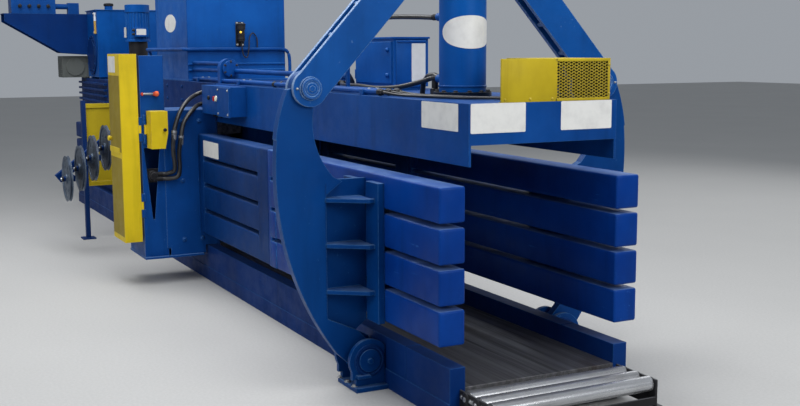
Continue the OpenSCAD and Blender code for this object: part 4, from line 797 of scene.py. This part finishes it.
hang(runs, "deck_hoses", "frame", rubber, "hose_black")
hang([turned([(0.014, -0.012), (0.026, -0.012), (0.026, 0.012), (0.020, 0.016), (0.020, 0.050), (0.012, 0.052)],
             (-1.600, -0.300, 1.740), up, 24),
      turned([(0.012, -0.055), (0.022, -0.050), (0.022, 0.050), (0.012, 0.055)],
             (-1.600, -0.300, 1.756), forward, 24)], "post_tee", *black_trim)
hang([turned([(0.044, 0.0), (0.060, 0.001), (0.060, 0.012), (0.052, 0.014), (0.020, 0.014)], (-3.656, -0.340, 1.620),
             forward, 48)], "anchor_cap", *blue_trim)
hang(bolts(ring((-3.645, -0.340, 1.620), 0.050, 6, 30, upright=True), forward, 0.013), "anchor_bolts", *black_trim)

# Cabinet: folded sheet box on two feet, with a hinged door, a turned latch,
# cable glands at its end and a blank plate.
door_finish = machine_enamel("cabinet_enamel", (0.0030, 0.050, 0.23), (0.0060, 0.080, 0.32), (0.12, 0.26, 0.5),
                             0.4, 0.4, 0.34, 0.004)
hang([folded_bar((-1.7005, 0.066, 1.545), (-1.693, 0.274, 1.812), 0.003, 2),
      folded_bar((-1.698, 0.070, 1.800), (-1.688, 0.270, 1.812), 0.003, 2)],
     "cabinet_end_panel", "frame", door_finish, "panel_blue")
hang([turned([(0.014, 0.0), (0.014, 0.006), (0.010, 0.010), (0.010, 0.016), (0.006, 0.018)],
             (-1.760, 0.040, z), nearside, 24) for z in (1.600, 1.755)]
     + [turned([(0.007, -0.030), (0.007, 0.030)], (-2.232, 0.042, z), up, 16) for z in (1.60, 1.76)],
     "cabinet_latches", "frame", door_finish, "panel_blue")
hang([turned([(0.012, -0.002), (0.017, 0.0), (0.017, 0.008), (0.013, 0.010), (0.013, 0.020), (0.009, 0.024)],
             (-1.9 - 0.06 * n, 0.290, 1.575), farside, 6) for n in range(4)], "cabinet_glands", *black_trim)
hang([blank_plate((-1.6922, 0.219, 1.678), (0.096, 0.232), "x", 0.004)], "cabinet_plate", *plate_trim)

# Hopper: four plates seam-welded at the corners and down to its foot, with a
# bolted rim for a chute and a blank oval plate on its side.
hop_low, hop_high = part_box("hopper")
rim_x, rim_y, foot_z = 0.046, 0.030, 1.5225
corner_xs, corner_ys = (hop_low.x + rim_x, hop_high.x - rim_x), (hop_low.y + rim_y, hop_high.y - rim_y)
seams = [bead((x, y, 1.523), (x, y, 2.558), 0.003) for x in corner_xs for y in corner_ys]
seams += [bead((corner_xs[0], y, foot_z), (corner_xs[1], y, foot_z), 0.003) for y in corner_ys]
seams += [bead((x, corner_ys[0], foot_z), (x, corner_ys[1], foot_z), 0.003) for x in corner_xs]
hang(seams, "hopper_seams", *blue_trim)
hang(bolts([(-5.40 + 0.17 * n, y, 2.600) for n in range(6) for y in (-0.437, 0.437)]
           + [(x, -0.26 + 0.26 * n, 2.600) for n in range(3) for x in (-5.470, -4.480)], up, 0.016),
     "hopper_rim_bolts", *zinc_trim)
let_go()
bpy.ops.mesh.primitive_cylinder_add(vertices=48, radius=1.0, depth=0.0016, location=(0, 0, 0))
oval = bpy.context.object
oval.scale = (0.170, 0.075, 1.0)
settle()
oval.rotation_euler = (math.pi / 2, 0, 0)
oval.location = (-4.990, -0.4216, 1.985)
enter("EDIT")
bpy.ops.mesh.select_mode(type="FACE")
bpy.ops.mesh.select_all(action="SELECT")
bpy.ops.mesh.bevel(offset=0.0004, segments=1, affect="EDGES")
enter("OBJECT")
hang(oval, "hopper_plate", *plate_trim)

# Photo eye: a black cast housing on a bracket that looks into the hopper,
# with a small amber lamp and a cable that hangs in a loop.
eye_finish = machine_enamel("eye_black", (0.010, 0.010, 0.012), (0.022, 0.022, 0.025), (0.10, 0.10, 0.11), 0.5, 0.4)
coat(eye_finish, "photo_eye")
hang([turned([(0.036, -0.002), (0.038, 0.002), (0.038, 0.010), (0.030, 0.016), (0.012, 0.018)],
             (-4.454, 0.025, 1.963), up),
      turned([(0.029, 0.0), (0.031, 0.003), (0.031, 0.009), (0.029, 0.012)], (-4.454, 0.025, 1.880), up),
      turned([(0.0285, 0.0), (0.0305, 0.003), (0.0305, 0.009), (0.0285, 0.012)], (-4.454, 0.025, 1.845), up)],
     "eye_rings", "frame", eye_finish, "eye_black")
amber, tree, shader = blank_finish("amber_lamp")
glow = coat_over(tree, speckle(tree, 90.0, 2.0), (0.75, 0.42, 0.02, 1), (0.95, 0.66, 0.08, 1))
tree.links.new(glow, shader.inputs["Base Color"])
tree.links.new(glow, shader.inputs["Emission Color"])
shader.inputs["Emission Strength"].default_value = 0.9
shader.inputs["Roughness"].default_value = 0.2
hang(turned([(0.009, -0.002), (0.009, 0.004), (0.006, 0.007), (0.002, 0.008)],
            (-4.427, 0.012, 1.905), (0.9, -0.43, 0), 20),
     "eye_lamp", "frame", amber, "eye_black")
hang(bolts([(-4.4885, 0.025 + dy, z) for dy in (-0.022, 0.022) for z in (1.802, 1.978)], forward, 0.010),
     "eye_screws", *zinc_trim)

# Tying column: folded plate box with a V-shaped window over the hydraulic
# motor, seam-welded to its foot. The twister stations turn behind it.
column_enamel = machine_enamel("column_enamel", (0.0018, 0.036, 0.175), (0.0040, 0.056, 0.25), (0.10, 0.24, 0.48),
                               0.7, 0.5, 0.36, 0.005)
coat(column_enamel, "tier_frame")
hang([bead((-3.7795, -0.985, 0.2165), (-3.7795, -0.822, 0.2165), 0.004),
      bead((-3.7795, -0.805, 0.2165), (-3.7795, -0.535, 0.2165), 0.004),
      bead((-3.7795, -0.8205, 0.300), (-3.7795, -0.8205, 1.270), 0.0035),
      bead((-3.7795, -0.8205, 1.3135), (-3.7795, -0.8205, 1.715), 0.0035)],
     "column_welds", "frame", column_enamel, "panel_blue")
hang(bolts([(-3.7695, y, z) for y in (-0.700, -0.560) for z in (0.330, 0.780, 1.230)], forward, 0.020),
     "column_bolts", "frame", column_enamel, "panel_blue")
hang(bolts([(-3.774, -0.925 + dy, 0.830 + dz) for dy in (-0.018, 0.018) for dz in (-0.018, 0.018)], forward, 0.010),
     "motor_end_screws", *zinc_trim)

# Interlock: a zinc-plated spring plunger in two lugs on the column. The turned
# ball on its end has the plain orange-red plastic that its solid came with.
coat(machine_enamel("knob_orange", (0.42, 0.035, 0.010), (0.62, 0.060, 0.015), (0.7, 0.25, 0.15), 0.4, 0.2, 0.3, 0.002),
     "interlock")
plain_plastic = bpy.data.materials["knob_orange"]
spring_turns, coil_round, coil_pitch = 9, 8.5, 7.0
coil = [(-3760 + coil_round * math.cos(0.7854 * n), -975 + coil_pitch * n / 8, 1440 + coil_round * math.sin(0.7854 * n))
        for n in range(8 * spring_turns)]
hang([hose([coil[0]] + coil + [coil[-1]], 2.6, 1, 2),
      turned([(0.0052, 0.0), (0.0062, 0.001), (0.0062, 0.088), (0.0052, 0.090)],
             (-3.760, -0.982, 1.440), farside, 20)], "interlock_spring", *zinc_trim)
hang(turned([(0.012, -0.002), (0.0185, 0.001), (0.0195, 0.006), (0.0195, 0.018), (0.017, 0.024), (0.010, 0.027)],
            (-3.760, -0.892, 1.440), farside, 32), "interlock_knob", "frame", plain_plastic, "knob_orange")

# Guard doors: 3 mm sheet folded into boxes and painted safety yellow, hung on
# three-knuckle hinges. The edges are folded in and the corners are welded.
guard_enamel = machine_enamel("guard_yellow", (0.52, 0.375, 0.008), (0.70, 0.52, 0.012), (0.76, 0.66, 0.22),
                              0.4, 0.3, 0.38, 0.004, 0.3)
coat(guard_enamel, "tier_guard", "twister_guard")
hang([bead((-3.785, -1.1455, 0.336), (-3.785, -1.1455, 1.732), 0.0022),
      bead((-3.785, -1.1455, 1.732), (-3.785, -1.018, 1.732), 0.0022),
      folded_bar((-4.150, -1.019, 0.337), (-4.128, -1.0155, 1.731), 0.0012, 1),
      turned([(0.013, -0.001), (0.013, 0.010), (0.020, 0.014), (0.020, 0.026), (0.014, 0.031)],
             (-4.10, -1.146, 1.100), nearside, 32)],
     "tall_guard_folds", "tier_guard", guard_enamel, "guard_yellow")
hang(bolts([(-3.7835, -1.005, z) for z in (1.165, 1.195, 0.595, 0.625)], forward, 0.006),
     "tall_guard_screws", "tier_guard", zinc, "roller_steel")
hang([bead((-3.641, -0.9595, 1.042), (-3.641, -0.9595, 1.314), 0.002),
      bead((-3.641, -0.9595, 1.3145), (-3.641, -0.836, 1.3145), 0.002)],
     "small_guard_folds", "twister_guard", guard_enamel, "guard_yellow")
hang(turned([(0.008, -0.001), (0.008, 0.012), (0.013, 0.016), (0.013, 0.024), (0.009, 0.028)], (-3.640, -0.862, 1.180),
            forward, 28), "small_guard_pull", "twister_guard", black_enamel, "machine_black")
# Thin darker yellow panels over the tall guard's near side: painted shade on that face.
shaded_side_finish = machine_enamel("guard_side_shade", (0.20, 0.145, 0.012), (0.28, 0.21, 0.018), (0.5, 0.42, 0.14),
                             0.4, 0.2, 0.45, 0.003, 0.4)
hang([folded_bar((-4.140, -1.1485, low), (-3.800, -1.1455, high), 0.001, 1)
      for low, high in ((0.375, 0.965), (1.010, 1.575))],
     "tall_guard_shade_panels", "tier_guard", shaded_side_finish, "guard_yellow")
hang([blank_plate((-4.020, -1.1467, 1.656), (0.220, 0.120), "y")], "tall_guard_plate", "tier_guard", plate_finish,
     "guard_yellow")
hang([blank_plate((-3.445, -0.5757, 1.035), (0.360, 0.115), "y")], "fixed_wall_plate", "frame", plate_finish,
     "frame_blue")

# Tying hoses: two thick hoses from the control box down to the motor ports,
# with zinc-plated ends at the box and a swivel at mid-run.
tier_hose_a = [(-3740.3, -500, 1450), (-3785, -500, 1450), (-3800, -570, 1425), (-3740, -660, 1375),
               (-3690, -740, 1280), (-3665, -785, 1150), (-3665, -795, 1020), (-3685, -780, 925),
               (-3714, -778, 868), (-3743, -805, 849), (-3752, -832, 842), (-3752, -857.7, 842)]
tier_hose_b = [(-3740.3, -480, 1365), (-3785, -480, 1365), (-3795, -550, 1350), (-3740, -620, 1310),
               (-3700, -700, 1220), (-3680, -730, 1110), (-3698, -741, 1000), (-3706, -738, 880),
               (-3710, -754, 822), (-3740, -802, 807), (-3752, -832, 806), (-3752, -857.7, 806)]
hoses = hang([hose(tier_hose_a, 32), hose(tier_hose_b, 32)], "tying_hoses", "frame", rubber, "hose_black")
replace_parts(hoses, "tier_hoses")
hang([ferrule((-3.742, -0.500, 1.450), backward, 30), ferrule((-3.742, -0.480, 1.365), backward, 30),
      ferrule((-3.667, -0.782, 1.165), (0.02, -0.1, -1), 32), ferrule((-3.684, -0.727, 1.125), (-0.1, -0.05, -1), 32)],
     "tying_hose_ends", *zinc_trim)

# Control box: folded box bolted to the beam's side, with a cover plate, a red
# and a white push button in bright rings, and cable glands below.
coat(machine_enamel("cap_red", (0.32, 0.008, 0.010), (0.46, 0.014, 0.016), (0.6, 0.25, 0.25), 0.2, 0.2, 0.25, 0.002),
     "button_red")
coat(machine_enamel("cap_white", (0.62, 0.62, 0.50), (0.80, 0.80, 0.66), (0.8, 0.8, 0.7), 0.2, 0.2, 0.25, 0.002),
     "button_white")
hang([turned([(0.0235, -0.001), (0.0235, 0.003), (0.0215, 0.006), (0.0190, 0.006), (0.0190, 0.002)],
             (x, -0.5405, 1.410), nearside, 36) for x in (-3.395, -3.349)], "button_rings", *zinc_trim)
hang(bolts([(x, -0.555, z) for x in (-3.310, -3.090) for z in (1.305, 1.475)], nearside, 0.010),
     "control_box_screws", *zinc_trim)
hang([turned([(0.012, -0.002), (0.018, 0.0), (0.018, 0.009), (0.013, 0.011), (0.013, 0.022), (0.008, 0.026)],
             (x, -0.470, 1.290), down, 6) for x in (-3.66, -3.58, -3.50)] +
     [turned([(0.010, -0.001), (0.016, 0.001), (0.016, 0.010), (0.008, 0.014)], (-3.560, -0.541, 1.410), nearside, 24)],
     "control_box_glands", *black_trim)

# Wire sheaves: cast wheels galvanised blue-grey, each on a bolted axle on an
# arm of one bracket.
sheave_steel = scoured_steel("sheave_steel", (0.06, 0.085, 0.125), (0.16, 0.20, 0.26), 0.45, (1.0, 1.0, 1.0), 0.35)
coat(sheave_steel, *["sheave_%d" % n for n in range(1, 6)])
axle_spots = [(-5.450, -0.8345 - 0.112 * n, 0.995 - 0.085 * n) for n in range(5)]
hang([turned([(0.020, -0.001), (0.026, 0.001), (0.026, 0.012), (0.020, 0.015)], spot, nearside, 28)
      for spot in axle_spots], "axle_caps", *black_trim)
hang(bolts([(-5.450, -0.8490 - 0.112 * n, 0.995 - 0.085 * n) for n in range(5)], nearside, 0.018),
     "axle_bolts", *zinc_trim)

# Needle side: guide beams and an end post, bolted to the press box and to
# the floor.
hang(bolts([(-3.96 + dx, y, 0.012) for dx in (-0.15, 0.15) for y in (1.570, 1.710)], up, 0.022),
     "needle_post_anchors", *zinc_trim)
hang([bead((-4.070, 1.601, z), (-3.850, 1.601, z), 0.0035) for z in (0.281, 0.339, 1.251, 1.309)],
     "needle_post_welds", *rail_trim)
for side, s, first_x, face_y in (("right", 1, -5.70, 0.434), ("left", -1, -5.55, 0.4335)):
    hang(bolts([(first_x + 0.45 * n, s * face_y, z) for n in range(3) for z in (1.35, 1.46)], (0, s, 0), 0.018),
         "press_box_bolts_" + side, *rail_trim)

# Reservoir: welded tank on feet with a filler cap, a round bolted clean-out
# cover and a sight glass whose oil stands at two thirds.
tank_low, tank_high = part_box("reservoir")
hang([turned([(0.050, 0.0), (0.054, 0.004), (0.054, 0.022), (0.046, 0.030), (0.020, 0.034)],
             (-8.340, -0.200, 2.255), up)], "filler_cap", *black_trim)
tank_xs = (tank_low.x + 0.0125, tank_high.x - 0.0125)
hang([bead((x, s * 0.4215, 1.472), (x, s * 0.4215, 2.193), 0.003) for s in (-1, 1) for x in tank_xs],
     "tank_seams", *blue_trim)
sight, tree, shader = blank_finish("sight_glass")
level = spread(tree, where(tree)["Z"], 2.079, 2.081)
cloud = coat_over(tree, speckle(tree, 30.0, 3.0), (0.70, 0.72, 0.72, 1), (0.84, 0.86, 0.86, 1))
oil = coat_over(tree, speckle(tree, 20.0, 3.0), (0.50, 0.30, 0.05, 1), (0.62, 0.40, 0.08, 1))
tree.links.new(coat_over(tree, level, oil, cloud), shader.inputs["Base Color"])
shader.inputs["Roughness"].default_value = 0.18
coat(sight, "level_gauge")
hang(bolts([(-8.012, -0.441, z) for z in (1.956, 2.159)], nearside, 0.014), "gauge_nuts", *zinc_trim)

# Power unit: motor on its bell housing over the pump, with a slotted fan
# cowl, cable glands at its terminal box and two blank plates.
motor_x, motor_y = -7.2, -0.16
vents = [turned([(0.006, -0.001), (0.006, 0.0035), (0.004, 0.004)], spot, up, 10)
         for spot in ring((motor_x, motor_y, 2.225), 0.075, 15, 0)]
hang(vents + [turned([(0.118, 0.0), (0.120, 0.004), (0.110, 0.007), (0.020, 0.009)],
                     (motor_x, motor_y, 2.222), up, 56)], "fan_cowl", *blue_trim)
hang([turned([(0.010, -0.002), (0.016, 0.0), (0.016, 0.009), (0.012, 0.011), (0.012, 0.022), (0.008, 0.026)],
             (-7.035, -0.232, z), nearside, 6) for z in (1.925, 1.965)], "motor_glands", *black_trim)
hang([blank_plate((-7.0293, -0.165, 1.948), (0.100, 0.062), "x", 0.003),
      blank_plate((-7.215, -0.2862, 1.945), (0.090, 0.105), "y", 0.003)], "motor_plates", *plate_trim)
hang(bolts(ring((motor_x, motor_y, 1.464), 0.138, 4, 45), up, 0.018), "pump_bolts", *zinc_trim)

# Oil cooler: a grey sheet housing beside the tank, with ten folded fins along
# its front face.
cooler_finish = machine_enamel("cooler_grey", (0.055, 0.062, 0.058), (0.10, 0.11, 0.105), (0.3, 0.31, 0.3),
                               0.5, 0.4, 0.5, 0.003)
coat(cooler_finish, "cooler")
fin_feet = [1.475 + 0.021 * n for n in range(10)]
hang([folded_bar((-8.79, -0.7045, z), (-8.53, -0.6985, z + 0.012), 0.002, 1) for z in fin_feet],
     "cooler_fins", "frame", cooler_finish, "cooler_grey")

# Valve box: painted sheet box on its shelf, with a screwed lid and four black
# unions on its front for the pipes.
hang(bolts([(x, y, 2.420) for x in (-8.60, -8.48) for y in (-1.20, -0.79)], up, 0.014),
     "valve_box_screws", *zinc_trim)
hang([turned([(0.015, -0.002), (0.022, 0.0), (0.022, 0.018), (0.017, 0.020), (0.017, 0.040), (0.010, 0.042)],
             (-8.45, y, 2.25), forward, 6) for y in (-1.14, -1.04, -0.94, -0.84)], "valve_box_unions", *black_trim)
